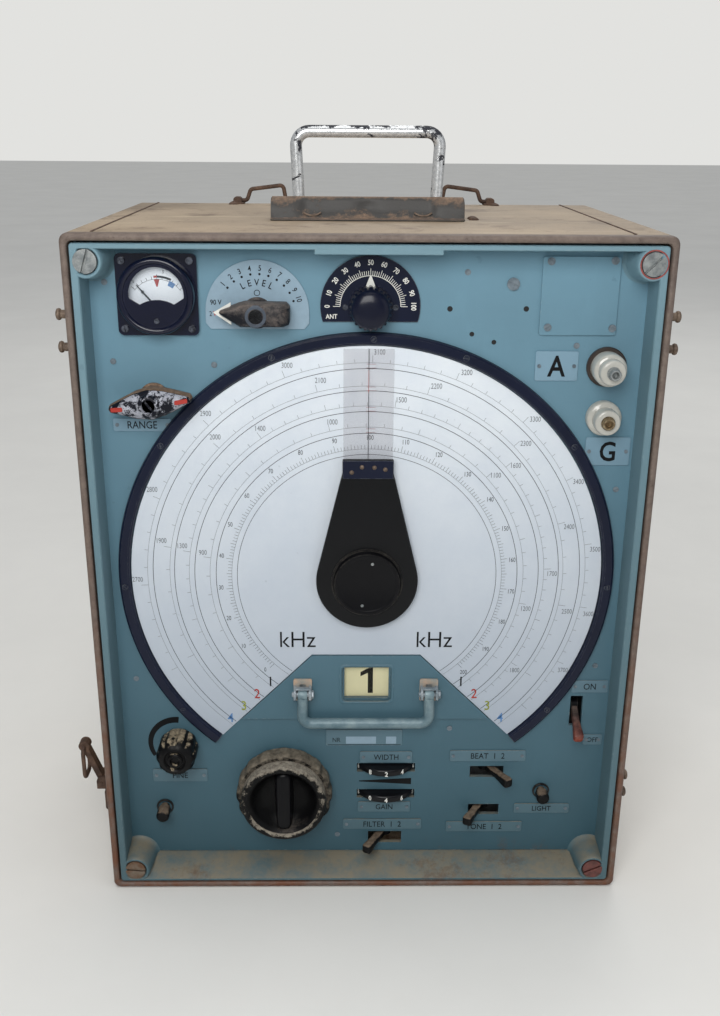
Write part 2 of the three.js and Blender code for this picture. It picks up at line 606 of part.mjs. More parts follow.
function scaleShape() {
  const end = cutAngle(DIAL.scaleR);
  const cornerX = DIAL.cut - DIAL.cutTop;
  const shape = new THREE.Shape();
  shape.absarc(0, 0, DIAL.scaleR, end, Math.PI - end, false);
  shape.lineTo(-cornerX, DIAL.cutTop).lineTo(cornerX, DIAL.cutTop);
  return withHoles(shape, circleShape(0, 0, POINTER.shaftR + 0.5));
}

function lowerCoverShape() {
  const top = DIAL.cutTop - 0.5;
  const bottom = 129 - DIAL.z;
  const line = DIAL.cut - 0.7;
  const shape = polygonShape([[line - bottom, bottom], [line - top, top], [top - line, top],
    [bottom - line, bottom]]);
  const { x, z, width, height } = BAND_WINDOW;
  return withHoles(shape, centredRect(x, z - DIAL.z, width + 0.8, height + 0.8, 2.4));
}

addOnPanel('dial_bezel', plate(bezelShape(), GAP, DIAL.ringFront, 24), 'black_enamel', DIAL.x, DIAL.z);
addOnPanel('dial_scale', plate(scaleShape(), GAP, DIAL.scaleFront, 24), 'dial_white', DIAL.x, DIAL.z);
addOnPanel('dial_lower_cover', plate(lowerCoverShape(), GAP, 2.4), 'panel_paint', DIAL.x, DIAL.z);
addOnPanel('band_window', plate(centredRect(0, 0, BAND_WINDOW.width, BAND_WINDOW.height, 2), GAP, 2.1),
  'clear_plastic', BAND_WINDOW.x, BAND_WINDOW.z);

// ---------------------------------------------------------------- pull bail under the dial
// A regular prism along X about the x axis.
function prismAlongX(radius, x0, x1, sides = 12) {
  const points = [];
  for (let i = 0; i < sides; i += 1) {
    const turn = (i / sides) * Math.PI * 2;
    points.push([radius * Math.cos(turn), radius * Math.sin(turn)]);
  }
  return profileAlongX(points, x0, x1);
}

function bailBracket(side) {
  const inner = 37.5;
  const outer = 50.5;
  const middle = (inner + outer) / 2;
  const base = plate(centredRect(0, 149.5, outer - inner, 22, 2), 2.7, 4.2);
  const ears = [inner + 0.4, outer - 2.4].map((x) => block(x - middle, -BAIL.pivotH - 3.6,
    BAIL.pivotZ - 4.5, x - middle + 2, -4, BAIL.pivotZ + 5.5));
  const pin = prismAlongX(BAIL.boreR - GAP, -5, 5, 8).translate([0, -BAIL.pivotH, BAIL.pivotZ]);
  return join(base, ...ears, pin).translate([side * middle, 0, 0]);
}

addOnPanel('bail_bracket_left', bailBracket(-1), 'case_paint');
addOnPanel('bail_bracket_right', bailBracket(1), 'case_paint');

function pullBail() {
  const drop = BAIL.pivotZ - BAIL.barZ;
  const { legX, rodR, eyeR, boreR } = BAIL;
  const splay = legX + 0.6;
  const wire = rod([[-legX, 0, -3], [-splay, 0, -drop], [splay, 0, -drop], [legX, 0, -3]], rodR, 5);
  const eyes = [-legX, legX].map((x) => prismAlongX(eyeR, x - 3.2, x + 3.2));
  return cut(join(wire, ...eyes), prismAlongX(boreR, -legX - 6, legX + 6));
}

addOnPanel('pull_bail', pullBail(), 'panel_paint', 0, BAIL.pivotZ, [0, 0, 0], -BAIL.pivotH);

// ---------------------------------------------------------------- range switch and band indicator
function rangeKnob() {
  const { tip } = RANGE;
  const wing = polygonShape([[-tip, -2.2], [-8, -9], [8, -9], [tip, -2.2], [tip, 2.2], [8, 9.4],
    [-8, 9.4], [-tip, 2.2]]);
  const spine = polygonShape([[-tip + 6, -1.6], [0, -5.5], [tip - 6, -1.6], [tip - 6, 1.6], [0, 5.5],
    [-tip + 6, 1.6]]);
  const body = join(disc(8.4, 0.6, 11), plate(wing, 9, 19), plate(spine, 18.9, 24), disc(4.6, 18, 26, 16));
  return cut(body, disc(4.4, 0, 10.3, 12));
}

addOnPanel('range_knob', rangeKnob(), 'black_plastic', RANGE.x, RANGE.z,
  [0, THREE.MathUtils.degToRad(-RANGE.tilt), 0]);
const turretBack = PANEL_Y - 20;
const turretFront = PANEL_Y - DECK.bulkheadY - 6;
addOnPanel('coil_turret', turned([[0, turretBack], [RANGE.turretR, turretBack], [RANGE.turretR, turretFront],
  [4, turretFront], [4, 10], [0, 10]], 20), 'aluminium', RANGE.x, RANGE.z);
const indicatorBack = PANEL_Y - DECK.bulkheadY - 2;
addOnPanel('band_disc', turned([[0, indicatorBack], [3, indicatorBack], [3, -5], [BAND_DISC.r, -5],
  [BAND_DISC.r, -3.5], [0, -3.5]], 28), 'cream_plastic', BAND_DISC.x, BAND_DISC.z);

// ---------------------------------------------------------------- pointer, its shaft and the capacitor
function pointerArm() {
  const { hubR, neckHalf, neckTop, top } = POINTER;
  const reach = Math.hypot(neckHalf, neckTop);
  const tangent = Math.atan2(neckTop, neckHalf) - Math.acos(hubR / reach);
  const shape = new THREE.Shape();
  shape.moveTo(-neckHalf, top).lineTo(-neckHalf, neckTop);
  shape.absarc(0, 0, hubR, Math.PI - tangent, tangent + Math.PI * 2, false);
  shape.lineTo(neckHalf, neckTop).lineTo(neckHalf, top);
  return plate(withHoles(shape, circleShape(0, 0, POINTER.shaftR + GAP)), 4.2, 8, 10);
}

const shaftBack = PANEL_Y - 24;
addOnPanel('pointer_shaft', disc(POINTER.shaftR, shaftBack, 7.9, 16), 'worn_steel', DIAL.x, DIAL.z);
addOnPanel('pointer_arm', pointerArm(), 'black_enamel', DIAL.x, DIAL.z);
addOnPanel('pointer_cursor', plate(rectShape(-16, 62, 16, 156.2), 2.9, 3.8), 'clear_plastic', DIAL.x, DIAL.z);
addOnPanel('pointer_hub_cap', turned([[0, 8.3], [POINTER.capR, 8.3], [POINTER.capR, 12.6],
  [POINTER.capR - 1.4, 14], [0, 14]], 24), 'black_plastic', DIAL.x, DIAL.z);
addOnPanel('main_gear', gearSolid(GEAR.main, 0, POINTER.shaftR + GAP), 'brass', DIAL.x, DIAL.z);
addOnPanel('idler_gear', gearSolid(GEAR.idler, idlerPhase, 4 + GAP), 'brass', idler.x, idler.z);
addOnPanel('tuning_pinion', gearSolid(GEAR.pinion, pinionPhase, TUNING.shaftR + GAP), 'brass',
  TUNING.x, TUNING.z);

function capacitorRotor() {
  const { plates, first, pitch, plateR, hubR } = CAPACITOR;
  const half = new THREE.Shape();
  half.absarc(0, 0, plateR, Math.PI, Math.PI * 2, false);
  half.closePath();
  const hub = disc(hubR, -first - pitch * plates + 8, -first + 2);
  const blades = [];
  for (let i = 0; i < plates; i += 1) {
    blades.push(plate(half, -first - i * pitch - 3, -first - i * pitch, 6));
  }
  return cut(join(hub, ...blades), disc(POINTER.shaftR + GAP, -80, 80));
}

function capacitorStator() {
  const { plates, first, pitch, hubR } = CAPACITOR;
  const low = DECK.z + GAP - DIAL.z;
  const pieces = [];
  for (let i = 0; i < plates - 1; i += 1) {
    const y = first + (i + 0.5) * pitch + 1.5;
    pieces.push(block(-46, y - 1.5, low + 4, 46, y + 1.5, -2));
  }
  for (const side of [-1, 1]) {
    const x0 = side > 0 ? 38 : -46;
    pieces.push(block(x0, first + 4, low, x0 + 8, first + (plates - 1) * pitch, low + 10));
  }
  return cut(join(...pieces), disc(hubR + 2, -80, 80));
}

add('capacitor_rotor', capacitorRotor(), 'aluminium', [DIAL.x, 0, DIAL.z]);
add('capacitor_stator', capacitorStator(), 'aluminium', [DIAL.x, 0, DIAL.z]);
const core = block(TRANSFORMER.x0, TRANSFORMER.y0, DECK.z + GAP, TRANSFORMER.x1, TRANSFORMER.y1,
  DECK.z + TRANSFORMER.height);
add('chassis_transformer', core, 'rusty_steel');
TUBES.x.forEach((x, i) => {
  const profile = [[0, 0], [15, 0], [15, 12], [13, 12], [16, 30], [16, 62], [9, 78], [0, 80]];
  const tube = turned(profile, 10).rotate([-90, 0, 0]);
  add(`radio_tube_${i + 1}`, tube, 'tube_glass', [x, TUBES.y, DECK.z + GAP]);
});

// ---------------------------------------------------------------- tuning knob and small controls
function tuningKnob() {
  const { rearR, frontR, shaftR } = TUNING;
  const profile = [[0, -30], [shaftR, -30], [shaftR, 1], [rearR - 1, 1], [rearR, 2.4], [rearR, 11.4],
    [rearR - 1.4, 12.7], [frontR, 12.7], [frontR, 20.6], [frontR - 1.6, 22], [frontR - 4.4, 22],
    [frontR - 7, 19], [frontR - 11, 12], [frontR - 17, 8.5], [0, 8]];
  const bar = plate(rectShape(-3.2, -24, 3.2, 24, 3), 7.5, 20);
  return join(turned(profile, 24), bar);
}

addOnPanel('tuning_knob', tuningKnob(), 'black_plastic', TUNING.x, TUNING.z);
addOnPanel('fine_tune_knob', turned([[0, SHAFT.back], [SHAFT.r, SHAFT.back], [SHAFT.r, 1], [FINE.r - 2, 1],
  [FINE.r, 4], [FINE.r, 19], [FINE.r - 2.4, 23], [FINE.r - 6, 25], [0, 25]], 20), 'black_plastic',
  FINE.x, FINE.z);

['bandwidth_wheel', 'volume_wheel'].forEach((name, i) => {
  const half = WHEEL.thick / 2;
  const wheel = turned([[0, -half], [WHEEL.r - 1, -half], [WHEEL.r, -half + 1], [WHEEL.r, half - 1],
    [WHEEL.r - 1, half], [0, half]], 28).rotate([-90, 0, 0]);
  addOnPanel(name, wheel, 'black_plastic', WHEEL.x, wheelCentres[i], [0, 0, 0], WHEEL.r - WHEEL.proud);
});

for (const [side, [x, z, proud]] of Object.entries(BUTTONS)) {
  const profile = [[0, SHAFT.back], [SHAFT.r, SHAFT.back], [SHAFT.r, 3.6], [BUTTON_R, 3.6],
    [BUTTON_R, proud - 1], [BUTTON_R - 1, proud], [0, proud]];
  addOnPanel(`push_button_${side}`, turned(profile, 12), 'black_plastic', x, z);
}

function leverSolid() {
  const { reach, halfWidth, thick, hubR } = LEVER;
  const shape = new THREE.Shape();
  shape.moveTo(halfWidth, 0).lineTo(halfWidth, reach - 2);
  shape.absarc(0, reach - 2, halfWidth, 0, Math.PI, false);
  shape.lineTo(-halfWidth, 0);
  const blade = plate(shape, -thick / 2, thick / 2, 5);
  return join(blade, disc(hubR, -thick / 2, thick / 2, 16)).rotate([90, 0, 0]);
}

const lean = THREE.MathUtils.degToRad(LEVER.lean);
for (const [name, slot] of Object.entries(LEVER_SLOTS)) {
  addOnPanel(name, leverSolid(), 'black_plastic', slot.x, slot.z, [0, 0, slot.side * lean], -LEVER.pivotH);
}
addOnPanel('power_lever', leverSolid().rotate([0, 90, 0]), 'red_brown', POWER_SLOT.x, POWER_SLOT.z,
  [lean, 0, 0], -LEVER.pivotH);

export default receiver;
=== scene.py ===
import json
import math

import bmesh
import bpy
import numpy as np
from mathutils import Matrix, Vector
from mathutils.geometry import tessellate_polygon


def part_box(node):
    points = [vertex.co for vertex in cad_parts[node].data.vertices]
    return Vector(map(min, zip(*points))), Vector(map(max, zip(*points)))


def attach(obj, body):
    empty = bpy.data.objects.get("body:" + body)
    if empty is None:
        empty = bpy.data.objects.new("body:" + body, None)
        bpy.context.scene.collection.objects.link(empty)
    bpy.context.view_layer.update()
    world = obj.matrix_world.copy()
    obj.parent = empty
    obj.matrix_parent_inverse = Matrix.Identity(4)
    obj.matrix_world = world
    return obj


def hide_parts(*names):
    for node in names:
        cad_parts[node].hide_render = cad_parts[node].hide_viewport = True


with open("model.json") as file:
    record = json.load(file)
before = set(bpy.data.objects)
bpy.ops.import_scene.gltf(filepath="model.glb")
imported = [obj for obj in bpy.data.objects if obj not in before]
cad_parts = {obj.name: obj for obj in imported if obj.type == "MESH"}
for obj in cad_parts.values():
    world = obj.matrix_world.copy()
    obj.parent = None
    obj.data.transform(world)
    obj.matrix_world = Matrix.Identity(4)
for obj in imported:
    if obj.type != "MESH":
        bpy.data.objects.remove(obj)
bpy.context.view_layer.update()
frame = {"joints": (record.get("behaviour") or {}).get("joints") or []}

# Shapes are drawn in millimetres and become metres when a mesh is made. On the panel, x runs to
# the right, z up, and h is the height over the panel's front face, towards the user.
MM = 0.001
JOINTS = {joint["name"]: joint for joint in frame["joints"]}
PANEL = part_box("front_panel")[0].y / MM
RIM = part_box("case_shell")[0].y / MM
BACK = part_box("case_shell")[1].y / MM
CASE_TOP = 464.0
CASE_HALF = 182.5             # half the case's width


def node_box(node):
    low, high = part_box(node)
    return low / MM, high / MM


def joint_place(joint):
    return tuple(value / MM for value in JOINTS[joint]["pos_m"])


def pivot(joint):
    x, _, z = joint_place(joint)
    return x, z


def middle(node):
    low, high = node_box(node)
    return (low.x + high.x) / 2, (low.z + high.z) / 2


# ------------------------------------------------------------------ shapes
class Shape:
    """Vertices in millimetres and faces, before they become a mesh."""

    def __init__(self, verts=(), faces=()):
        self.verts = np.array(verts, float).reshape(-1, 3)
        self.faces = [tuple(face) for face in faces]

    def __add__(self, other):
        shift = len(self.verts)
        faces = self.faces + [tuple(i + shift for i in face) for face in other.faces]
        return Shape(np.vstack([self.verts, other.verts]), faces)

    def move(self, x=0.0, y=0.0, z=0.0):
        return Shape(self.verts + np.array([x, y, z]), self.faces)

    def turn(self, degrees, axis="Y", about=(0, 0, 0)):
        matrix = np.array(Matrix.Rotation(math.radians(degrees), 3, axis))
        about = np.array(about, float)
        return Shape((self.verts - about) @ matrix.T + about, self.faces)

    def scaled(self, x=1.0, y=1.0, z=1.0):
        return Shape(self.verts * np.array([x, y, z]), self.faces)

    def on_panel(self, x=0.0, z=0.0):
        return self.move(x, PANEL, z)


def loft(loops, cap_start=True, cap_end=True, closed=False):
    """Skins loops that all have the same number of points."""
    count = len(loops[0])
    verts = [point for loop in loops for point in loop]
    faces = []
    spans = len(loops) if closed else len(loops) - 1
    for i in range(spans):
        a, b = i * count, ((i + 1) % len(loops)) * count
        for k in range(count):
            n = (k + 1) % count
            faces.append((a + k, a + n, b + n, b + k))
    if cap_start and not closed:
        faces.append(tuple(reversed(range(count))))
    if cap_end and not closed:
        faces.append(tuple(range(len(verts) - count, len(verts))))
    return Shape(verts, faces)


def lathe(profile, segments=48, wave=None, ring=False):
    """Turns (radius, h) about an axis towards the user. wave(angle, radius, h) gives a new radius,
    and ring closes the profile on itself."""
    loops = []
    for radius, h in profile:
        loop = []
        for k in range(segments):
            angle = 2 * math.pi * k / segments
            r = wave(angle, radius, h) if wave else radius
            loop.append((r * math.cos(angle), -h, r * math.sin(angle)))
        loops.append(loop)
    return loft(loops, closed=ring)


def drum(radius, back, front, segments):
    """A plain disc or pin between two heights."""
    return lathe([(0, back), (radius, back), (radius, front), (0, front)], segments)


def tessellated(rings):
    flat = [point for ring in rings for point in ring]
    faces = tessellate_polygon([[Vector((x, z, 0)) for x, z in ring] for ring in rings])
    return flat, faces


def prism(outline, back, front, holes=()):
    """A plate drawn in x and z between two heights, with holes."""
    rings = [list(outline)] + [list(hole) for hole in holes]
    if holes:
        flat, tris = tessellated(rings)
    else:
        flat, tris = rings[0], [tuple(range(len(rings[0])))]
    count = len(flat)
    verts = [(x, -back, z) for x, z in flat] + [(x, -front, z) for x, z in flat]
    faces = [tuple(face) for face in tris]
    faces += [tuple(i + count for i in reversed(face)) for face in tris]
    start = 0
    for ring in rings:
        for k in range(len(ring)):
            a, b = start + k, start + (k + 1) % len(ring)
            faces.append((a, b, b + count, a + count))
        start += len(ring)
    return Shape(verts, faces)


def circle(radius, x=0.0, z=0.0, count=32):
    return [(x + radius * math.cos(2 * math.pi * k / count),
             z + radius * math.sin(2 * math.pi * k / count)) for k in range(count)]


def arc(radius, start, end, steps, x=0.0, z=0.0):
    """Points on an arc, with angles in degrees clockwise from the top."""
    angles = [math.radians(start + (end - start) * k / steps) for k in range(steps + 1)]
    return [(x + radius * math.sin(a), z + radius * math.cos(a)) for a in angles]


def rounded(x0, z0, x1, z1, radius, steps=5):
    radius = max(radius, 0.01)
    corners = [(x1 - radius, z0 + radius, -90), (x1 - radius, z1 - radius, 0),
               (x0 + radius, z1 - radius, 90), (x0 + radius, z0 + radius, 180)]
    points = []
    for cx, cz, start in corners:
        for k in range(steps + 1):
            a = math.radians(start + 90 * k / steps)
            points.append((cx + radius * math.cos(a), cz + radius * math.sin(a)))
    return points


def bar(x0, z0, x1, z1, back, front, radius=0.0):
    outline = rounded(x0, z0, x1, z1, radius) if radius else [(x0, z0), (x1, z0), (x1, z1), (x0, z1)]
    return prism(outline, back, front)


def band(inner, outer, start, end, back, front, steps=64):
    """A flat arc strip; inner and outer may be pairs, for a strip that tapers."""
    def pair(value):
        return value if isinstance(value, tuple) else (value, value)

    (i0, i1), (o0, o1) = pair(inner), pair(outer)
    loops = []
    for k in range(steps + 1):
        t = k / steps
        a = math.radians(start + (end - start) * t)
        low, high = i0 + (i1 - i0) * t, o0 + (o1 - o0) * t
        s, c = math.sin(a), math.cos(a)
        loops.append([(low * s, -back, low * c), (high * s, -back, high * c),
                      (high * s, -front, high * c), (low * s, -front, low * c)])
    return loft(loops)


def smooth_path(corners, radius, steps=8):
    points = [Vector(c) for c in corners]
    path = [points[0]]
    for before, here, after in zip(points, points[1:], points[2:]):
        back, ahead = (before - here).normalized(), (after - here).normalized()
        half = back.angle(ahead) / 2
        reach = min(radius / math.tan(half), (before - here).length * 0.49,
                    (after - here).length * 0.49)
        start, end = here + back * reach, here + ahead * reach
        centre = here + (back + ahead).normalized() * (reach / math.cos(half))
        for k in range(steps + 1):
            spoke = (start - centre).normalized().slerp((end - centre).normalized(), k / steps)
            path.append(centre + spoke * (start - centre).length)
    path.append(points[-1])
    return path


def tube(path, radius, sides=20, closed=False):
    loops = []
    normal = Vector((0, 1, 0))
    count = len(path)
    for i, point in enumerate(path):
        before = path[i - 1] if i or closed else point
        after = path[(i + 1) % count] if i < count - 1 or closed else point
        along = (Vector(after) - Vector(before)).normalized()
        if abs(along.dot(normal)) > 0.95:
            normal = along.orthogonal()
        normal = (normal - along * normal.dot(along)).normalized()
        side = along.cross(normal)
        r = radius(i / (count - 1)) if callable(radius) else radius
        angles = [2 * math.pi * k / sides for k in range(sides)]
        loops.append([tuple(Vector(point) + (normal * math.cos(a) + side * math.sin(a)) * r)
                      for a in angles])
    return loft(loops, closed=closed)


def along_x(profile, x0, x1):
    """A prism along X whose outline is drawn in y and z."""
    return loft([[(x, y, z) for y, z in profile] for x in (x0, x1)])


# ------------------------------------------------------------------ lettering
GLYPHS = {}


def glyph(text, weight):
    """The flat outline mesh of a word, one unit high, centred on the origin, as a Shape."""
    if (text, weight) not in GLYPHS:
        curve = bpy.data.curves.new("glyph", "FONT")
        curve.body, curve.size, curve.offset = text, 1.0, weight
        curve.align_x, curve.align_y = "CENTER", "CENTER"
        curve.resolution_u, curve.extrude = 3, 0.02
        holder = bpy.data.objects.new("glyph", curve)
        bpy.context.scene.collection.objects.link(holder)
        bpy.context.view_layer.update()
        graph = bpy.context.evaluated_depsgraph_get()
        mesh = bpy.data.meshes.new_from_object(holder.evaluated_get(graph))
        co = np.array([v.co for v in mesh.vertices], float).reshape(-1, 3)
        faces = [tuple(p.vertices) for p in mesh.polygons]
        tall = max(np.ptp(co[:, 1]), 1e-6)
        mid = (co.max(0) + co.min(0)) / 2
        co = (co - mid) / tall
        GLYPHS[(text, weight)] = Shape(np.column_stack([co[:, 0], -co[:, 2], co[:, 1]]), faces)
        bpy.data.objects.remove(holder)
        bpy.data.meshes.remove(mesh)
        bpy.data.curves.remove(curve)
    return GLYPHS[(text, weight)]


INK = 0.08                    # how far lettering and marks stand above their surface


def word(text, height, x, z, h, turn=0.0, weight=0.0, narrow=0.85):
    """Raised ink lettering; turn is in degrees clockwise."""
    flat = glyph(text, weight)
    thickness = max(np.ptp(flat.verts[:, 1]), 1e-6)
    shape = flat.scaled(height * narrow, INK / thickness, height)
    return shape.turn(turn).move(x, -h - INK / 2, z)


def numeral(value, height, x, z, h, turn=0.0):
    """A bold window numeral; the one is drawn with its flag."""
    if value != 1:
        return word(str(value), height, x, z, h, turn, weight=0.035, narrow=0.95)
    one = [(0.05, -0.5), (0.23, -0.5), (0.23, 0.5), (0.09, 0.5), (-0.21, 0.33), (-0.21, 0.16),
           (0.05, 0.30)]
    return prism([(px * height, pz * height) for px, pz in one], h, h + INK).turn(turn).move(x, 0, z)


def around(text, height, radius, angle, h, x=0.0, z=0.0, upright=False, weight=0.0, narrow=0.85):
    a = math.radians(angle)
    return word(text, height, x + radius * math.sin(a), z + radius * math.cos(a), h,
                0 if upright else angle, weight, narrow)


def tick(inner, outer, angle, width, h, x=0.0, z=0.0):
    mark = prism([(-width / 2, inner), (width / 2, inner), (width / 2, outer), (-width / 2, outer)], h,
                 h + INK)
    return mark.turn(angle).move(x, 0, z)


# ------------------------------------------------------------------ materials
class Paint:
    """A material whose nodes read object coordinates, in metres."""

    def __init__(self, name):
        self.material = bpy.data.materials.new(name)
        self.material.use_nodes = True
        self.tree = self.material.node_tree
        self.shader = self.tree.nodes["Principled BSDF"]
        self.coords = self.tree.nodes.new("ShaderNodeTexCoord").outputs["Object"]

    def node(self, kind, inputs=None, **settings):
        made = self.tree.nodes.new(kind)
        for key, value in settings.items():
            setattr(made, key, value)
        for key, value in (inputs or {}).items():
            if hasattr(value, "is_output"):
                self.tree.links.new(value, made.inputs[key])
            else:
                made.inputs[key].default_value = value
        return made

    def stretched(self, x, y, z):
        return self.node("ShaderNodeVectorMath", {0: self.coords, 1: (x, y, z)},
                         operation="MULTIPLY").outputs[0]

    def noise(self, scale, detail=4.0, rough=0.6, vector=None, distortion=0.0):
        inputs = {"Vector": vector or self.coords, "Scale": scale, "Detail": detail, "Roughness": rough,
                  "Distortion": distortion}
        return self.node("ShaderNodeTexNoise", inputs).outputs["Fac"]

    def steps(self, value, low, high):
        """0 below low, 1 above high."""
        inputs = {"Value": value, "From Min": low, "From Max": high}
        return self.node("ShaderNodeMapRange", inputs, clamp=True).outputs[0]

    def patches(self, noise, low, high):
        """Spots and clouds: a noise, given as its settings, between two levels."""
        return self.steps(self.noise(*noise), low, high)

    def maths(self, operation, a, b=0.0):
        return self.node("ShaderNodeMath", {0: a, 1: b}, operation=operation, use_clamp=True).outputs[0]

    def mix(self, factor, a, b):
        made = self.node("ShaderNodeMix", data_type="RGBA")
        for index, value in ((0, factor), (6, a), (7, b)):
            if hasattr(value, "is_output"):
                self.tree.links.new(value, made.inputs[index])
            else:
                made.inputs[index].default_value = (*value, 1.0) if index else value
        return made.outputs[2]

    def times(self, a, b):
        return self.maths("MULTIPLY", a, b)

    def less(self, value):
        """One minus the value."""
        return self.maths("SUBTRACT", 1.0, value)

    def over(self, base, mask, amount, code):
        """Lays a colour, given as hex, over the base through a mask of at most the amount."""
        return self.mix(self.times(mask, amount), base, rgb(code))

    def edges(self, radius, low=0.02, high=0.25):
        """1 on sharp edges, from how far a rounded normal leans away from the true one."""
        bevel = self.node("ShaderNodeBevel", {"Radius": radius}, samples=4)
        flat = self.node("ShaderNodeNewGeometry").outputs["Normal"]
        dot = self.node("ShaderNodeVectorMath", {0: bevel.outputs[0], 1: flat}, operation="DOT_PRODUCT")
        return self.steps(self.less(dot.outputs["Value"]), low, high)

    def facing(self, axis, low, high):
        """How much the surface faces along a row axis, such as 2 for upwards."""
        normal = self.node("ShaderNodeNewGeometry").outputs["Normal"]
        split = self.node("ShaderNodeSeparateXYZ", {0: normal})
        return self.steps(split.outputs[axis], low, high)

    def height(self, axis, low, high):
        split = self.node("ShaderNodeSeparateXYZ", {0: self.coords})
        return self.steps(split.outputs[axis], low * MM, high * MM)

    def bump(self, value, strength, distance):
        made = self.node("ShaderNodeBump",
                         {"Height": value, "Strength": strength, "Distance": distance})
        self.tree.links.new(made.outputs[0], self.shader.inputs["Normal"])

    def set(self, **sockets):
        for key, value in sockets.items():
            socket = self.shader.inputs[key.replace("_", " ")]
            if hasattr(value, "is_output"):
                self.tree.links.new(value, socket)
            elif isinstance(value, tuple) and len(value) == 3:
                socket.default_value = (*value, 1.0)
            else:
                socket.default_value = value
        return self.material

    def done(self, colour, rough, metallic=0.0):
        return self.set(Base_Color=colour, Roughness=rough, Metallic=metallic)


def rgb(code):
    """A linear colour from a display colour written as hex."""
    parts = [int(code[i:i + 2], 16) / 255 for i in (0, 2, 4)]
    return tuple(((c + 0.055) / 1.055) ** 2.4 if c > 0.04045 else c / 12.92 for c in parts)


def case_paint():
    p = Paint("case_paint")
    blotch = p.noise(9, 6, 0.65)
    fine = p.noise(140, 8, 0.7)
    scratch = p.noise(30, 3, 0.5, p.stretched(0.4, 6.0, 6.0))
    base = p.mix(p.steps(blotch, 0.35, 0.65), rgb("95836d"), rgb("b29f87"))
    rub = p.patches((16, 4, 0.6, p.stretched(0.6, 2.2, 1.0)), 0.58, 0.72)
    base = p.over(base, rub, 0.55, "cbbb9d")
    base = p.over(base, p.steps(scratch, 0.62, 0.70), 0.5, "c2b096")
    base = p.over(base, p.patches((22, 8, 0.75), 0.54, 0.66), 0.7, "6b5848")
    # The rolled rim is a darker purple-brown, rusty towards the floor and chipped along its edges.
    rim = p.less(p.height(1, RIM + 4, RIM + 14))
    low = p.less(p.height(2, 0, 300))
    rust = p.times(low, p.patches((60, 7, 0.75), 0.36, 0.58))
    rim_tone = p.mix(p.steps(fine, 0.3, 0.7), rgb("4c403d"), rgb("73655e"))
    rim_tone = p.mix(rust, rim_tone, rgb("5f3118"))
    base = p.mix(p.times(rim, 0.9), base, rim_tone)
    chip = p.times(p.edges(0.0022, 0.02, 0.18), p.patches((170, 8, 0.8), 0.50, 0.55))
    base = p.over(base, chip, 0.85, "c3b8ae")
    base = p.over(base, p.patches((330, 5, 0.7), 0.62, 0.68), 0.6, "3a2b22")
    side_rust = p.times(low, p.patches((34, 8, 0.78), 0.50, 0.62))
    base = p.over(base, side_rust, 0.8, "6a3a1e")
    p.bump(p.maths("ADD", fine, p.times(scratch, 0.5)), 0.4, 0.0007)
    return p.done(base, p.steps(blotch, -0.8, 1.5), 0.05)


def panel_paint(name="panel_paint", top="648a9c", foot="355561"):
    """Blue-grey machine paint, greener, dustier and darker towards the floor: partly dirt, partly
    painted shade.
    """
    p = Paint(name)
    cloud = p.noise(7, 5, 0.6)
    fine = p.noise(260, 6, 0.65)
    # The ramp from the top colour to the foot colour is partly dirt and partly painted shade for the
    # light's falloff.
    rise = p.height(2, 40, 430)
    base = p.mix(rise, rgb(foot), rgb(top))
    paler = p.mix(rise, tuple(c * 1.35 for c in rgb(foot)), tuple(c * 1.3 for c in rgb(top)))
    base = p.mix(p.times(p.steps(cloud, 0.45, 0.7), 0.4), base, paler)
    smear = p.steps(p.noise(18, 6, 0.7, p.stretched(1.0, 1.0, 0.35)), 0.55, 0.72)
    base = p.mix(p.times(smear, 0.3), base, paler)
    dust = p.times(p.facing(2, 0.25, 0.8), p.patches((38, 7, 0.75), 0.30, 0.56))
    low = p.less(p.height(2, 30, 200))
    base = p.over(base, p.times(dust, low), 0.9, "7c7360")
    mud = p.times(p.patches((21, 8, 0.8), 0.55, 0.68), p.less(p.height(2, 14, 30)))
    base = p.over(base, mud, 0.8, "5d4632")
    chip = p.times(p.edges(0.0012, 0.02, 0.2), p.steps(fine, 0.54, 0.66))
    base = p.over(base, chip, 0.55, "a3aba9")
    spot = p.patches((95, 3, 0.5), 0.70, 0.74)
    base = p.over(base, spot, 0.2, "35505b")
    p.bump(fine, 0.25, 0.0003)
    return p.done(base, p.steps(cloud, -0.9, 1.4))


def plated_steel():
    p = Paint("plated_steel")
    patch = p.noise(60, 9, 0.74, distortion=0.4)
    # Dark patches are worn-through plating, pushed towards the upward-facing side as a painted
    # reflection of a dark room.
    over = p.times(p.facing(2, 0.3, 0.95), 0.10)
    worn_and_dark_reflection = p.steps(p.maths("ADD", patch, over), 0.575, 0.595)
    fine = p.noise(500, 4, 0.6)
    bright = p.mix(p.steps(fine, 0.3, 0.7), rgb("b8bbbd"), rgb("e6e8e9"))
    colour = p.mix(worn_and_dark_reflection, bright, rgb("2c2e36"))
    rough = p.node("ShaderNodeMix", {0: worn_and_dark_reflection, 2: 0.22, 3: 0.7}).outputs[0]
    metal = p.maths("SUBTRACT", 0.5, p.times(worn_and_dark_reflection, 0.4))
    p.bump(p.less(worn_and_dark_reflection), 0.25, 0.0002)
    return p.done(colour, rough, metal)


def rough_metal(name, light, dark, rough=0.6, metallic=0.6, scale=90, grain=0.35):
    p = Paint(name)
    patch = p.noise(scale, 8, 0.7)
    colour = p.mix(p.steps(patch, 0.38, 0.62), rgb(dark), rgb(light))
    p.bump(p.noise(scale * 5, 5, 0.6), grain, 0.0003)
    return p.done(colour, rough, metallic)


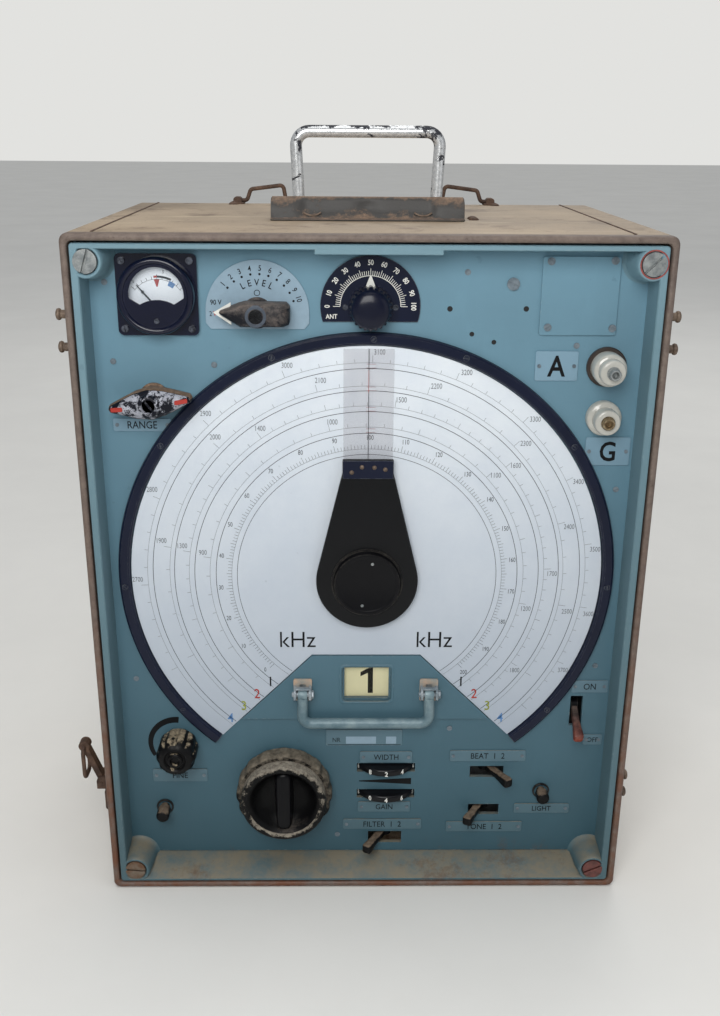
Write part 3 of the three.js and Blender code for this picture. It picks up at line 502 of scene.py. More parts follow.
def black_finish(name, worn, amount, rough, base="16171c", scale=120, coat=0.0, edge=0.0016):
    """Black enamel or moulding, worn to a lighter colour on its edges and in patches."""
    p = Paint(name)
    patch = p.noise(scale, 8, 0.75)
    colour = p.mix(p.patches((30, 4, 0.6), 0.3, 0.7), rgb(base), tuple(c * 1.3 for c in rgb(base)))
    mask = p.times(p.edges(edge, 0.02, 0.2), p.steps(patch, 0.40, 0.60))
    colour = p.mix(p.times(mask, amount), colour, rgb(worn))
    p.bump(p.noise(700, 3, 0.6), 0.12, 0.0002)
    p.set(Coat_Weight=coat, Coat_Roughness=0.15, Specular_IOR_Level=0.16)
    return p.done(colour, rough)


def rubbed_black(name, light, mid, low, high, up_low=-0.2, up_high=0.7, scale=70, body="0b0b0c"):
    """A dark moulding rubbed through to grey and tan where it faces up or out."""
    p = Paint(name)
    patch = p.noise(scale, 9, 0.78, distortion=0.3)
    up = p.facing(2, up_low, up_high)
    mask = p.steps(p.maths("ADD", patch, p.times(up, 0.28)), low, high)
    tone = p.mix(p.patches((scale * 3, 6, 0.7), 0.35, 0.65), rgb(mid), rgb(light))
    colour = p.mix(mask, rgb(body), tone)
    p.bump(p.maths("SUBTRACT", p.noise(400, 5, 0.7), mask), 0.4, 0.0004)
    rough = p.node("ShaderNodeMix", {0: mask, 2: 0.38, 3: 0.62}).outputs[0]
    p.set(Specular_IOR_Level=0.16)
    return p.done(colour, rough)


def power_lever():
    """Worn dark brown at its root, glossy red-brown at its tip."""
    p = Paint("red_brown")
    tip = p.less(p.height(2, 118, 132))
    patch = p.patches((110, 8, 0.75), 0.42, 0.62)
    root = p.mix(patch, rgb("2a201d"), rgb("66564e"))
    colour = p.mix(tip, root, p.mix(patch, rgb("5a1c0e"), rgb("933d24")))
    p.bump(p.noise(300, 4, 0.6), 0.2, 0.0003)
    return p.done(colour, p.steps(tip, 1.6, -0.4))


def dial_paint():
    p = Paint("dial_white")
    smudge = p.noise(14, 7, 0.7)
    colour = p.mix(p.steps(smudge, 0.35, 0.7), rgb("dde5ee"), rgb("edf3f8"))
    # Darker and bluer towards the bottom: painted shade for the light's falloff.
    colour = p.mix(p.height(2, 420, 60), colour, rgb("98a3b1"))
    streak = p.steps(p.noise(40, 6, 0.7, p.stretched(1.6, 1.0, 0.25)), 0.58, 0.8)
    colour = p.over(colour, streak, 0.16, "b5c0cc")
    spot = p.patches((160, 3, 0.5), 0.74, 0.78)
    colour = p.over(colour, spot, 0.35, "8f9aa3")
    p.bump(p.noise(300, 4, 0.6), 0.08, 0.0002)
    return p.done(colour, 0.42)


def plain(name, colour, rough, metallic=0.0, vary=0.12, scale=120, grain=0.1, **extra):
    """A plain finish with faint mottling."""
    p = Paint(name)
    base = rgb(colour)
    other = tuple(min(c * (1 - vary * 2.5), 1) for c in base)
    mixed = p.mix(p.patches((scale, 5, 0.65), 0.3, 0.75), base, other)
    p.bump(p.noise(scale * 4, 3, 0.6), grain, 0.0002)
    p.set(**extra)
    return p.done(mixed, rough, metallic)


def clear(name, colour, alpha, rough=0.06):
    p = Paint(name)
    haze = p.mix(p.patches((60, 5, 0.7), 0.4, 0.7), rgb(colour), tuple(c * 0.9 for c in rgb(colour)))
    p.material.blend_method = "BLEND"
    p.bump(p.noise(350, 3, 0.6, p.stretched(1, 1, 0.1)), 0.05, 0.0001)
    return p.set(Base_Color=haze, Roughness=rough, Alpha=alpha, IOR=1.45)


MATERIALS = {
    "case": case_paint(),
    "panel": panel_paint(),
    "frame": panel_paint("frame_paint", "6b8a96", "48626a"),
    "base": rubbed_black("handle_base", "8f7764", "6a5a4e", 0.58, 0.74, 0.2, 1.0, 90, "484746"),
    "plated": plated_steel(),
    "rusty": rough_metal("rusty_steel", "6d5546", "3f2f27", 0.7, 0.3),
    "screw": rough_metal("screw_steel", "a2a6a5", "74797b", 0.42, 0.5, 190),
    "stud": rough_metal("stud_steel", "857465", "54463c", 0.6, 0.4, 150),
    "enamel": black_finish("black_enamel", "7d8184", 0.7, 0.34, "0e1428", 210, 0.15, 0.001),
    "gloss": black_finish("meter_black", "3a3e4c", 0.3, 0.2, "090d22", 200, 0.5),
    "dome": black_finish("dome_black", "3a3e4c", 0.3, 0.3, "0a0e20", 200, 0.25),
    "dark_steel": rough_metal("dark_steel", "6b707c", "25272e", 0.25, 0.7, 200),
    "dull_screw": rough_metal("dull_screw", "7b868e", "55626b", 0.5, 0.2, 190),
    "blued": rough_metal("blued_ring", "464f5b", "2c333c", 0.4, 0.1, 150),
    "red_screw": rough_metal("red_screw", "a2514a", "6a3531", 0.6, 0.1, 150),
    "dark_red": rough_metal("dark_red_screw", "75443e", "432a27", 0.6, 0.1, 150),
    "rust_screw": rough_metal("rust_screw", "7d7568", "63452f", 0.6, 0.2, 90),
    "bakelite": plain("bakelite_brown", "3a302b", 0.4, 0.0, 0.15, 90),
    "bowl": rubbed_black("bowl_black", "4c4640", "302c29", 0.66, 0.80, 0.2, 1.0, 60, "070708"),
    "wheel": black_finish("wheel_black", "6f6b66", 0.7, 0.3, "0c0c0f", 200, 0.2, 0.0008),
    "plastic": black_finish("black_plastic", "5c5850", 0.6, 0.32, "0a0a0d"),
    "cap": black_finish("hub_black", "4a4c50", 0.4, 0.36, "08090c", 120, 0.1),
    "grey_bar": rubbed_black("selector_black", "7b7069", "4f4c4b", 0.50, 0.74, -0.3, 0.8, 70, "17191f"),
    "wing": rubbed_black("wing_black", "b3b6bf", "8a8c96", 0.63, 0.65, -9.0, 9.0, 125, "13151e"),
    "wing_side": rubbed_black("wing_side", "8c7460", "5f4c3e", 0.55, 0.68, -0.2, 0.7, 110),
    "knob": rubbed_black("knob_worn", "a3967f", "655a4a", 0.70, 0.76, 0.35, 0.95, 130),
    "chipped": rubbed_black("chipped_rim", "968f82", "5d564d", 0.62, 0.67, -0.3, 0.8, 150),
    "tier": rubbed_black("tier_worn", "7b7264", "4d473e", 0.55, 0.72, -0.3, 0.8, 80),
    "lever": rubbed_black("lever_worn", "80705f", "54483e", 0.62, 0.76, 0.2, 0.9, 90),
    "dial": dial_paint(),
    "scale": plain("scale_blue", "8ea7b8", 0.5, 0.05, 0.07),
    "label": panel_paint("label_paint", "7a9aad", "48636d"),
    # The labels darken towards the floor like the panel: painted shade for the light's falloff.
    "clear": clear("clear_plastic", "8f7f84", 0.09),
    "pane": clear("window_pane", "77755c", 0.03, 0.2),
    "glass": clear("clear_glass", "c9d6e4", 0.05, 0.03),
    "cream": plain("cream_plastic", "e4deb4", 0.5, 0.0, 0.03),
    "ceramic": plain("ceramic_glaze", "bdbcb4", 0.16, 0.0, 0.07, 60, 0.05, Coat_Weight=0.6),
    "red_brown": power_lever(),
    "brass": rough_metal("brass_dull", "b5a384", "6f5c42", 0.4, 0.7, 200),
    "steel": rough_metal("steel_shaft", "a0a2a3", "6c6e70", 0.4, 0.9, 200),
    "aluminium": rough_metal("aluminium_sheet", "a9adb0", "8b8f92", 0.45, 0.85, 120),
    "iron": rough_metal("transformer_iron", "4a4845", "2f2d2b", 0.6, 0.4, 120),
    "tube_glass": plain("tube_glass", "7f8a8a", 0.12, 0.2, 0.2, 60, 0.05, Coat_Weight=0.5),
    "black": plain("ink_black", "0d0e11", 0.6, 0.0, 0.15, Specular_IOR_Level=0.2),
    "grey": plain("ink_grey", "6f757b", 0.5, 0.0, 0.1),
    "pencil": plain("ink_dark_grey", "3c4148", 0.5, 0.0, 0.1),
    "white": plain("ink_white", "e9e9e2", 0.5, 0.0, 0.06),
    "red": plain("ink_red", "b5352a", 0.5, 0.0, 0.15),
    "yellow": plain("ink_yellow", "98a22e", 0.5, 0.0, 0.1),
    "blue": plain("ink_blue", "5583b8", 0.5, 0.0, 0.1),
    "dark": plain("shadow_black", "08090b", 0.6, 0.0, 0.1),
    "bracket": rough_metal("bracket_paint", "c4a68c", "8f9490", 0.55, 0.05, 75),
    "bail": rough_metal("bail_paint", "7d9197", "56707a", 0.4, 0.1, 60),
    "clevis": rough_metal("clevis_steel", "a3abb0", "6d7a82", 0.4, 0.3, 120),
}


def put(name, shape, material, body="root", replaces=(), bevel=0.0, segments=2, sharp=35):
    """Makes the shape a piece: cleaned, softly shaded, bevelled, and riding on its body."""
    mesh = bpy.data.meshes.new(name)
    mesh.from_pydata((shape.verts * MM).tolist(), [], shape.faces)
    work = bmesh.new()
    work.from_mesh(mesh)
    bmesh.ops.remove_doubles(work, verts=work.verts, dist=1e-6)
    bmesh.ops.recalc_face_normals(work, faces=work.faces)
    work.to_mesh(mesh)
    work.free()
    mesh.validate()
    mesh.polygons.foreach_set("use_smooth", [True] * len(mesh.polygons))
    mesh.set_sharp_from_angle(angle=math.radians(sharp))
    mesh.materials.append(MATERIALS[material])
    piece = bpy.data.objects.new(name, mesh)
    bpy.context.scene.collection.objects.link(piece)
    if bevel:
        rounding = piece.modifiers.new("edge_rounding", "BEVEL")
        rounding.width = bevel * MM
        rounding.segments = segments
        rounding.limit_method = "ANGLE"
        rounding.angle_limit = math.radians(sharp)
        rounding.harden_normals = True
    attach(piece, body)
    if replaces:
        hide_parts(*replaces)
    return piece


def fitter(x, z, body="root"):
    """A version of put for pieces drawn round one point of the panel and riding on one body."""
    def fit(name, shape, material, **settings):
        return put(name, shape.on_panel(x, z), material, body, **settings)
    return fit


def screw(radius, back, front, turn=0.0, slot=0.24, groove=0.45):
    """A slotted screw head on its disc."""
    start = math.asin(slot / 2)
    angles = [start + (math.pi - 2 * start) * k / 20 for k in range(21)]
    half = [(radius * math.cos(a), radius * math.sin(a)) for a in angles]
    deep = front - (front - back) * groove
    top = prism(half, deep, front)
    base = drum(radius, back, deep, 32)
    return (top + top.turn(180) + base).turn(turn)


# ------------------------------------------------------------------ case
STUDS = [(1, 415, 8), (1, 395, 8), (-1, 415, 8), (-1, 395, 8), (1, 88, 5), (1, 74, 5)]
STUD_Y = -116.0
CATCH_Y = -112.0


def box_loop(inset, y, radius, steps=6):
    outline = rounded(-CASE_HALF + inset, inset, CASE_HALF - inset, CASE_TOP - inset, radius, steps)
    return [(x, y, z) for x, z in outline]


case_loops = [box_loop(3.2, BACK, 4), box_loop(1.2, BACK - 0.6, 4.6), box_loop(0.3, BACK - 2, 5),
              box_loop(0, BACK - 4.5, 5), box_loop(0, BACK - 90, 5), box_loop(0, RIM + 90, 5),
              box_loop(0, RIM + 14, 5), box_loop(0.55, RIM + 11.5, 5), box_loop(0, RIM + 9, 5),
              box_loop(0, RIM + 3, 5), box_loop(0.4, RIM + 1, 5), box_loop(1.4, RIM, 4.6),
              box_loop(3.2, RIM, 4), box_loop(4.2, RIM + 0.8, 3.6), box_loop(4.5, RIM + 2, 3.4),
              box_loop(4.5, RIM + 9, 3.4), box_loop(2.2, RIM + 9.5, 3), box_loop(2.2, BACK - 2.2, 3)]
put("case_sheet", loft(case_loops), "case", replaces=("case_shell",), sharp=50)

studs = Shape()
for side, z, proud in STUDS:
    profile = [(3.7, -0.5), (3.7, 0.8), (2.7, 1.4), (2.6, proud - 3.4), (3.4, proud - 2.8),
               (3.7, proud - 1.9), (3.3, proud - 0.8), (2.1, proud - 0.2), (0, proud)]
    studs += lathe(profile, 28).turn(90 if side > 0 else -90, "Z").move(side * CASE_HALF, STUD_Y, z)
put("cover_studs", studs, "stud", sharp=50)

creases = Shape()
for x in (-165, 158):
    creases += bar(x - 0.7, -RIM - 246, x + 0.7, -RIM - 3, 0, 0.45, 0.3)
creases = creases.turn(-90, "X").move(0, 0, CASE_TOP)
put("top_creases", creases, "rusty", bevel=0.15)

rivets = Shape()
dome = [(3.6, -0.4), (3.5, 0.4), (2.8, 1.2), (1.5, 1.8), (0, 2.0)]
for x, y in [(-104, 121), (104, 121), (-104, 112), (104, 112), (-55, -30), (72, -22), (72, -13)]:
    rivets += lathe(dome, 20).turn(-90, "X").move(x, y, CASE_TOP)
put("top_rivets", rivets, "rusty", sharp=60)

clips = Shape()
for side in (-1, 1):
    for x in (100.9, 55.1):
        arch = rounded(-3.4, -1, 3.4, 5.4, 2.4)
        clips += prism(arch, -4.6, 4.6).move(side * x, 121, CASE_TOP)
        clips += bar(-5.4, -0.2, 5.4, 1.3, -6.2, 6.2, 0.6).move(side * x, 121, CASE_TOP)
put("strap_loop_clips", clips, "rusty", bevel=0.5)

hinge_x, hinge_z = pivot("catch_swing")
catch_ears = Shape()
for side in (-1, 1):
    outline = [(-3.2, -4.6), (5, -4.6), (5, 4.6), (-0.6, 4.6), (-2.6, 3.4), (-3.2, 1.8)]
    catch_ears += prism(outline, -1.15, 1.15).move(hinge_x, CATCH_Y + side * 5.75, hinge_z)
catch_ears += drum(1.5, -7.6, 7.6, 20).move(hinge_x, CATCH_Y, hinge_z)
plate_loops = [[(x, y, z) for y, z in rounded(CATCH_Y - 6.8 + i, 60.6 + i, CATCH_Y + 6.8 - i, 76.6 - i,
                                              1.6)] for x,
               i in ((-CASE_HALF + 0.6, 0), (-CASE_HALF - 2.6, 0), (-CASE_HALF - 3.4, 0.8))]
catch_ears += loft(plate_loops)
for z in (64.5, 72.5):
    catch_ears += lathe([(2.4, 0), (2.2, 0.6), (0, 1.0)], 18).turn(-90, "Z").move(-CASE_HALF - 3.4,
                                                                                  CATCH_Y, z)
put("catch_bracket", catch_ears, "rusty", bevel=0.35)

# ------------------------------------------------------------------ carrying handle
base_low, base_high = node_box("carry_handle_base")
base_half = base_high.x


def base_profile(lift=0.0):
    """The folded sheet under the handle, in y and z, concave towards the front."""
    front, foot_z, top = base_low.y, base_low.z, base_high.z - lift
    outer, inner = [], []
    for k in range(11):
        a = math.radians(90 * k / 10)
        y, z = front + 2 + 7.5 * (1 - math.cos(a)), foot_z + 1.2 + (top - foot_z - 1.2) * math.sin(a)
        outer.append((y, z))
        inner.insert(0, (y + 1.8, z - 0.3))
    return [(front, foot_z), (front, foot_z + 1.4)] + outer + inner + [(base_high.y, foot_z + 2),
                                                                       (base_high.y, foot_z)]


columns = [-base_half, -base_half + 0.8, -base_half + 3, -50, -46.5, -44.5, -42.5, -40, -22, -12, -8,
           -4, 0, 4, 8, 12, 22, 40, 42.5, 44.5, 46.5, 50, base_half - 3, base_half - 0.8, base_half]
loops = []
for x in columns:
    dimple = 1.9 * math.exp(-(x / 5) ** 2) + 2.6 / (1 + math.exp((abs(x) - 44.5) / 0.9))
    end = 1.2 if abs(x) > base_half - 0.5 else 0.0
    loop = []
    for y, z in base_profile():
        pushed = dimple * max(0.0, math.sin(math.pi * (z - base_low.z) / (base_high.z - base_low.z)))
        ridge = 0.0 if abs(x) > base_half - 4 or z < base_low.z + 2.2 else 0.9
        loop.append((x, y + pushed + ridge, max(z - end * (z > base_high.z - 2), base_low.z)))
    loops.append(loop)
base = loft(loops)
for side in (-1, 1):
    cheek = [(base_low.y + 3.4, base_low.z + 1), (base_high.y - 2, base_low.z + 1),
             (base_high.y - 6, base_high.z - 3.4), (base_low.y + 9.6, base_high.z - 0.8)]
    x0 = side * (base_half - 3.2)
    base += along_x(cheek, min(x0, side * base_half), max(x0, side * base_half))
floor_plate = rounded(-base_half, base_low.y - 3, base_half, base_low.y + 4, 1.0)
base += prism(floor_plate, 0, 0.9).turn(-90, "X").move(0, 0, base_low.z)
put("handle_base_sheet", base, "base", replaces=("carry_handle_base",), bevel=0.3)

crescents = Shape()
for side in (-1, 1):
    crescents += band(9.0, 9.9, 142, 218, -5.5, -3.2).move(side * 37, base_low.y, base_low.z + 12.4)
put("handle_base_crescents", crescents, "stud")

_, handle_y, handle_z = joint_place("handle_fold")
_, handle_high = node_box("carry_handle")
grip_z = handle_high.z - 4
path = smooth_path([(-handle_high.x, handle_y, handle_z), (-46, handle_y, handle_z),
                    (-48.2, handle_y, grip_z), (48.2, handle_y, grip_z), (46, handle_y, handle_z),
                    (handle_high.x, handle_y, handle_z)], 9)
grip = tube(path, 3.95, 28)
for side in (-1, 1):
    collar = lathe([(0, -3), (5.2, -3), (5.6, -2.2), (5.6, 2.2), (5.2, 3), (0, 3)], 28).turn(90, "Z")
    grip += collar.move(side * 55.5, handle_y, handle_z)
put("handle_grip", grip, "plated", body="handle", replaces=("carry_handle",), sharp=40)

# ------------------------------------------------------------------ strap loops and catch
for side, name in ((-1, "left"), (1, "right")):
    _, y, z = joint_place("loop_%s_swing" % name)
    path = smooth_path([(side * 97.5, y, z), (side * 93.5, y, z), (side * 90.5, y, z + 8.5),
                        (side * 64.5, y, z + 11.8), (side * 62.5, y, z), (side * 58.5, y, z)], 3.2)
    put("loop_%s_wire" % name, tube(path, 1.6, 16), "rusty", body="loop_%s" % name,
        replaces=("strap_loop_%s" % name,))

link_x, link_z = pivot("link_swing")
run, rise = link_x - hinge_x, link_z - hinge_z
length = math.hypot(run, rise)
lever = bar(-2.1, 0, 2.1, length, -3.8, 3.8) + drum(3.6, -3.9, 3.9, 32)
lever += drum(3.9, -3.9, 3.9, 32).move(0, 0, length)
lever = lever.turn(math.degrees(math.atan2(run, rise))).move(hinge_x, CATCH_Y, hinge_z)
put("catch_lever_bar", lever, "rusty", body="catch", replaces=("catch_lever",), bevel=0.5)
ring = [(link_x, CATCH_Y + y, link_z + z) for y, z in rounded(-7.6, -23.6, 7.6, 0.1, 4.5, 8)]
put("catch_link_ring", tube(ring, 1.45, 16, closed=True), "rusty", body="link",
    replaces=("catch_link",))

# ------------------------------------------------------------------ chassis frame
frame_low, frame_high = node_box("chassis_frame")


def frame_loop(x_in, bottom, top, y, radius):
    return [(x, y, z) for x, z in rounded(-x_in, bottom, x_in, top, radius)]


fx, fz0, fz1 = frame_high.x, frame_low.z, frame_high.z
frame_loops = [frame_loop(fx, fz0, fz1, PANEL + 3, 2), frame_loop(fx, fz0, fz1, RIM + 1.2, 2),
               frame_loop(fx - 0.5, fz0 + 0.5, fz1 - 0.5, RIM + 0.35, 1.8),
               frame_loop(fx - 4.2, fz0 + 2.0, fz1 - 2.8, RIM + 0.35, 1.4),
               frame_loop(fx - 4.8, fz0 + 2.6, fz1 - 3.3, RIM + 1.2, 1.2),
               frame_loop(fx - 5.0, fz0 + 6.0, fz1 - 3.4, RIM + 12, 1.2),
               frame_loop(fx - 5.4, fz0 + 9.6, fz1 - 3.6, PANEL + 0.4, 1.2),
               frame_loop(fx - 5.4, fz0 + 9.6, fz1 - 3.6, PANEL + 3, 1.2)]
put("frame_walls", loft(frame_loops, closed=True), "frame", replaces=("chassis_frame",), sharp=28)
lip = along_x([(RIM + 0.4, fz1 - 5.9), (RIM + 4, fz1 - 5.6), (RIM + 4, fz1 - 2.4),
               (RIM + 0.4, fz1 - 2.4)], -33, 43)
put("frame_lip", lip, "frame", bevel=0.5)
bosses = Shape()
BOSS_H = PANEL - RIM - 0.3
boss_profile = [(14.2, -2), (14.2, 0.1), (12.9, 1.2), (12.2, 5), (11.4, 12), (10.5, BOSS_H - 3),
                (10.1, BOSS_H - 1), (9.5, BOSS_H - 0.1), (8.6, BOSS_H), (8.0, BOSS_H - 0.4),
                (7.7, BOSS_H - 1.1), (7.7, BOSS_H - 4)]
keep = [fx - 1.0, fz0 + 1.0, fz1 - 1.0]
for k in range(1, 5):
    x, z = middle("captive_screw_%d" % k)
    boss = lathe(boss_profile, 48).on_panel(x, z)
    boss.verts[:, 0] = np.clip(boss.verts[:, 0], -keep[0], keep[0])
    boss.verts[:, 2] = np.clip(boss.verts[:, 2], keep[1], keep[2])
    bosses += boss
    head = screw(7.2, BOSS_H - 3, BOSS_H + 0.2, (-72, -45, 5, -25)[k - 1], 0.2, 0.55).on_panel(x, z)
    finish = ("screw", "screw", "rust_screw", "dark_red")[k - 1]
    put("captive_screw_head_%d" % k, head, finish, replaces=("captive_screw_%d" % k,), bevel=0.35)
put("frame_bosses", bosses, "frame", sharp=40)
x, z = middle("captive_screw_2")
red_ring = lathe([(7.8, BOSS_H - 0.3), (8.7, BOSS_H - 0.3), (8.7, BOSS_H + 0.12), (7.8, BOSS_H + 0.12)],
                 40, ring=True).on_panel(x, z)
put("boss_red_ring", red_ring, "red_screw")

# ------------------------------------------------------------------ small things on the panel
panel_screws = screw(3.9, 0, 1.2, 25).on_panel(88.3, 433)
for x, z, turn in ((110.5, 447, 10), (149.5, 447.5, 80), (110.7, 406.7, -30), (151, 406.3, 45)):
    panel_screws += screw(2.4, 1.5, 2.3, turn).on_panel(x, z)
for x, z in ((-162, 433), (-97, 382), (-160, 384), (60, 440), (130, 395), (-100, 330), (163, 300),
             (-20, 30),
             (60, 120), (-100, 130), (160, 170), (-160, 160)):
    panel_screws += screw(1.9, 0, 0.5, 12 * (x + z)).on_panel(x, z)
put("panel_screws", panel_screws, "dull_screw", bevel=0.15)
holes = Shape()
for x, z, r in ((49.8, 417.6, 1.7), (97.1, 417.8, 1.7), (64, 402, 1.5), (78, 397, 1.5)):
    holes += drum(r, 0.02, 0.12, 20).on_panel(x, z)
put("panel_small_holes", holes, "dark")
blank_low, blank_high = node_box("blank_cover_plate")
blank = prism(rounded(blank_low.x, blank_low.z, blank_high.x, blank_high.z, 1.6), 0.2, 1.6)
put("blank_plate", blank.on_panel(), "panel", replaces=("blank_cover_plate",), bevel=0.4)

LABELS = {  # x0, z0, x1, z1, text, letter height
    "antenna": (104.7, 372.7, 131.7, 391.6, "A", 13.4),
          "earth": (140.6, 316.8, 169.6, 335.7, "G", 13.4),
    "range": (-162.8, 338.9, -125.7, 347.3, "RANGE", 4.9),
          "fine": (-152.8, 76.5, -113.6, 86.7, "FINE", 4.6),
    "width": (-3.7, 91.9, 33.9, 101.1, "WIDTH", 4.4), "volume": (-4.9, 50, 33.4, 58.7, "GAIN", 4.4),
    "light": (109.6, 48.8, 150, 56.7, "LIGHT", 4.2), "mode": (61, 93, 115.6, 101.9, "BEAT  1  2", 4.6),
    "tone": (60.2, 32.6, 116.2, 41.2, "TONE  1  2", 4.6),
          "filter": (-15.8, 35, 41.9, 43.6, "FILTER  1  2", 4.6),
    "on": (144.7, 149.1, 170.2, 158.6, "ON", 4.8), "off": (155.9, 106.7, 169.5, 115, "OFF", 3.8),
}
plates, ends, words = Shape(), Shape(), Shape()
for k, (x0, z0, x1, z1, text, size) in enumerate(LABELS.values()):
    plates += prism(rounded(x0, z0, x1, z1, 1.2), 0.1, 0.9).on_panel()
    mid_z = (z0 + z1) / 2
    for n, x in enumerate((x0 + 2.5, x1 - 2.5)):
        ends += screw(1.25, 0.8, 1.3, 40 * k + 70 * n).on_panel(x, mid_z)
    words += word(text, size, (x0 + x1) / 2, mid_z, 0.9,
                  weight=0.018 if size > 10 else 0.004).on_panel()
put("label_plates", plates, "label", bevel=0.25)
put("label_screws", ends, "dull_screw", bevel=0.12)
put("label_words", words, "black")

# ------------------------------------------------------------------ meter
mx, mz = middle("meter_housing")
on_meter = fitter(mx, mz)
needle_x, needle_z = pivot("needle_turn")
flange = prism(rounded(-24.8, -24.8, 24.8, 24.8, 3.4, 8), 0.3, 3.1)
ring = lathe([(23.5, 2.9), (23.5, 9.6), (23.1, 11.0), (22.2, 11.9), (21.0, 12.15), (20.0, 11.8),
              (19.2, 10.9), (19.0, 10.0), (19.0, 9.5), (20.4, 9.5), (20.4, 2.9)], 72, ring=True)
meter_window = arc(16.6, -97, 97, 48, 0.7, 1.0) + [(11.2, -4.7)] + arc(20.65, 29.5, -29.5, 12, 0.9,
                                                                       -22.65)
meter_window += [(-9.6, -4.8)]
face = prism(circle(20.3, count=72), 9.5, 10.7, holes=[meter_window[::-1]])
on_meter("meter_body", flange + ring + face, "gloss", replaces=("meter_housing",), bevel=0.5,
         segments=3)
corners = Shape()
for x, z, turn in ((-20.6, 20.6, 60), (20.6, 20.6, 50), (-20.6, -20.6, 80), (20.6, -20.6, 20)):
    corners += screw(2.2, 3.0, 4.4, turn, 0.26).on_panel(mx + x, mz + z)
corners += screw(1.6, 10.6, 11.6, 5, 0.3).on_panel(mx + 0.3, mz - 14.7)
put("meter_screws", corners, "dark_steel", bevel=0.3)
on_meter("meter_pane", drum(19.8, 7.9, 9.0, 48), "glass", replaces=("meter_glass",))
on_meter("meter_card", drum(19.9, 3.3, 4.2, 48), "dial", replaces=("meter_dial",))
arc_z = needle_z - mz
meter_ink = band(17.6, 17.8, -52, 52, 4.2, 4.28).move(0.7, 0, arc_z)
for k in range(11):
    meter_ink += tick(17.7, 19.6 if k % 5 else 20.6, -50 + 10 * k, 0.28, 4.2, 0.7, arc_z)
meter_ink += band(18.6, 19.9, 0, 26, 4.2, 4.3).move(0.7, 0, arc_z)
meter_ink += around("0", 1.9, 22.0, -42, 4.2, 0.7, arc_z) + around("5", 1.9, 22.4, 10, 4.2, 0.7, arc_z)
on_meter("meter_marks", meter_ink, "black")
red_mark = prism([(-1.9, 17.6), (1.5, 17.6), (0.2, 13.2), (-0.6, 13.2)], 4.2, 4.3).move(0.7, 0, arc_z)
red_mark += band(18.6, 19.9, -6, 0, 4.2, 4.31).move(0.7, 0, arc_z)
on_meter("meter_red_mark", red_mark, "red")
on_meter("meter_blue_mark", band(15.2, 18.4, 24, 37, 4.2, 4.3).move(0.7, 0, arc_z), "blue")
needle = prism([(-0.7, -4), (0.7, -4), (0.28, 19), (-0.28, 19)], 5.5, 6.0)
needle += drum(2.0, 5.4, 6.1, 24)
needle += drum(0.9, 5.4, 6.15, 20).move(0, 0, 13.5)
put("meter_needle_blade", needle.turn(-41).on_panel(needle_x, needle_z), "black", body="meter_movement",
    replaces=("meter_needle",))

# ------------------------------------------------------------------ current selector
sx, sz = pivot("selector_turn")
by_selector, on_selector = fitter(sx, sz), fitter(sx, sz, "current_selector")
PLATE_H = 1.1                 # the front of the selector's and antenna coupling's scale plates
outline = arc(31.9, -90, 90, 48) + [(31.9, -6.5), (28.9, -10.2), (-28.9, -10.2), (-31.9, -6.5)]
by_selector("selector_plate", prism(outline, 0.25, PLATE_H, holes=[circle(3.4)]), "scale",
            replaces=("selector_scale_plate",), bevel=0.3)
ink = Shape()
for k in range(10):
    angle = -50 + 13.6 * k
    ink += around(str(k + 1), 3.4, 27.0, angle, PLATE_H, weight=0.01)
    ink += drum(0.75, 0, INK, 14).move(
        23.4 * math.sin(math.radians(angle)), -PLATE_H, 23.4 * math.cos(math.radians(angle)))
for k, letter in enumerate("LEVEL"):
    ink += around(letter, 4.0, 18.4, -28 + 14 * k, PLATE_H, weight=0.012)
ink += lathe([(1.5, 0), (1.9, 0), (1.9, INK), (1.5, INK)], 20, ring=True).move(0, -PLATE_H, 12.0)
ink += word("90 V", 3.2, -25.3, 6.2, PLATE_H, weight=0.014) + word("2", 3.0, -28.8, -0.8, PLATE_H)
by_selector("selector_numbers", ink, "black")
by_selector("selector_red_mark", word("V", 3.0, -26.2, -0.8, PLATE_H, weight=0.02), "red")

knob_body = [(-22.6, 1.6), (-21.6, 0.2), (-10, -7.0), (16.6, -7.0), (20.0, -5.4), (20.4, -3.6),
             (20.4, 5.0), (18.2, 7.4), (-7, 7.9), (-11, 6.8), (-21.8, 2.9)]
loops = []
for size, h in ((0.99, 4.1), (1.0, 5.0), (1.0, 12.2), (0.97, 13.4), (0.90, 15.6), (0.84, 16.6),
                (0.78, 16.9)):
    loops.append([(x * size, -h, z * size) for x, z in knob_body])
selector = loft(loops) + lathe([(0, 1.3), (9.6, 1.3), (9.6, 3.2), (8.6, 4.2), (0, 4.2)], 40)
on_selector("selector_bar", selector, "grey_bar", replaces=("current_selector_knob",), bevel=0.7,
            segments=3)
hub = lathe([(6.6, 14.0), (6.9, 16.6), (6.4, 17.0), (4.6, 17.0), (4.1, 16.2), (4.1, 14.0)], 48,
            ring=True)
on_selector("selector_hub", hub, "blued", bevel=0.25)
socket_screw = drum(4.2, 13.4, 17.0, 32) + screw(3.2, 16.9, 17.6, 35, 0.3, 0.6)
on_selector("selector_hub_screw", socket_screw, "cap", bevel=0.2)
flash = prism([(-26.2, 1.4), (-15.4, 7.6), (-15.4, 5.4), (-21.4, 1.5), (-15.4, -3.4), (-15.4, -6.0)],
              9.6, 10.4)
on_selector("selector_arrow", flash, "white")

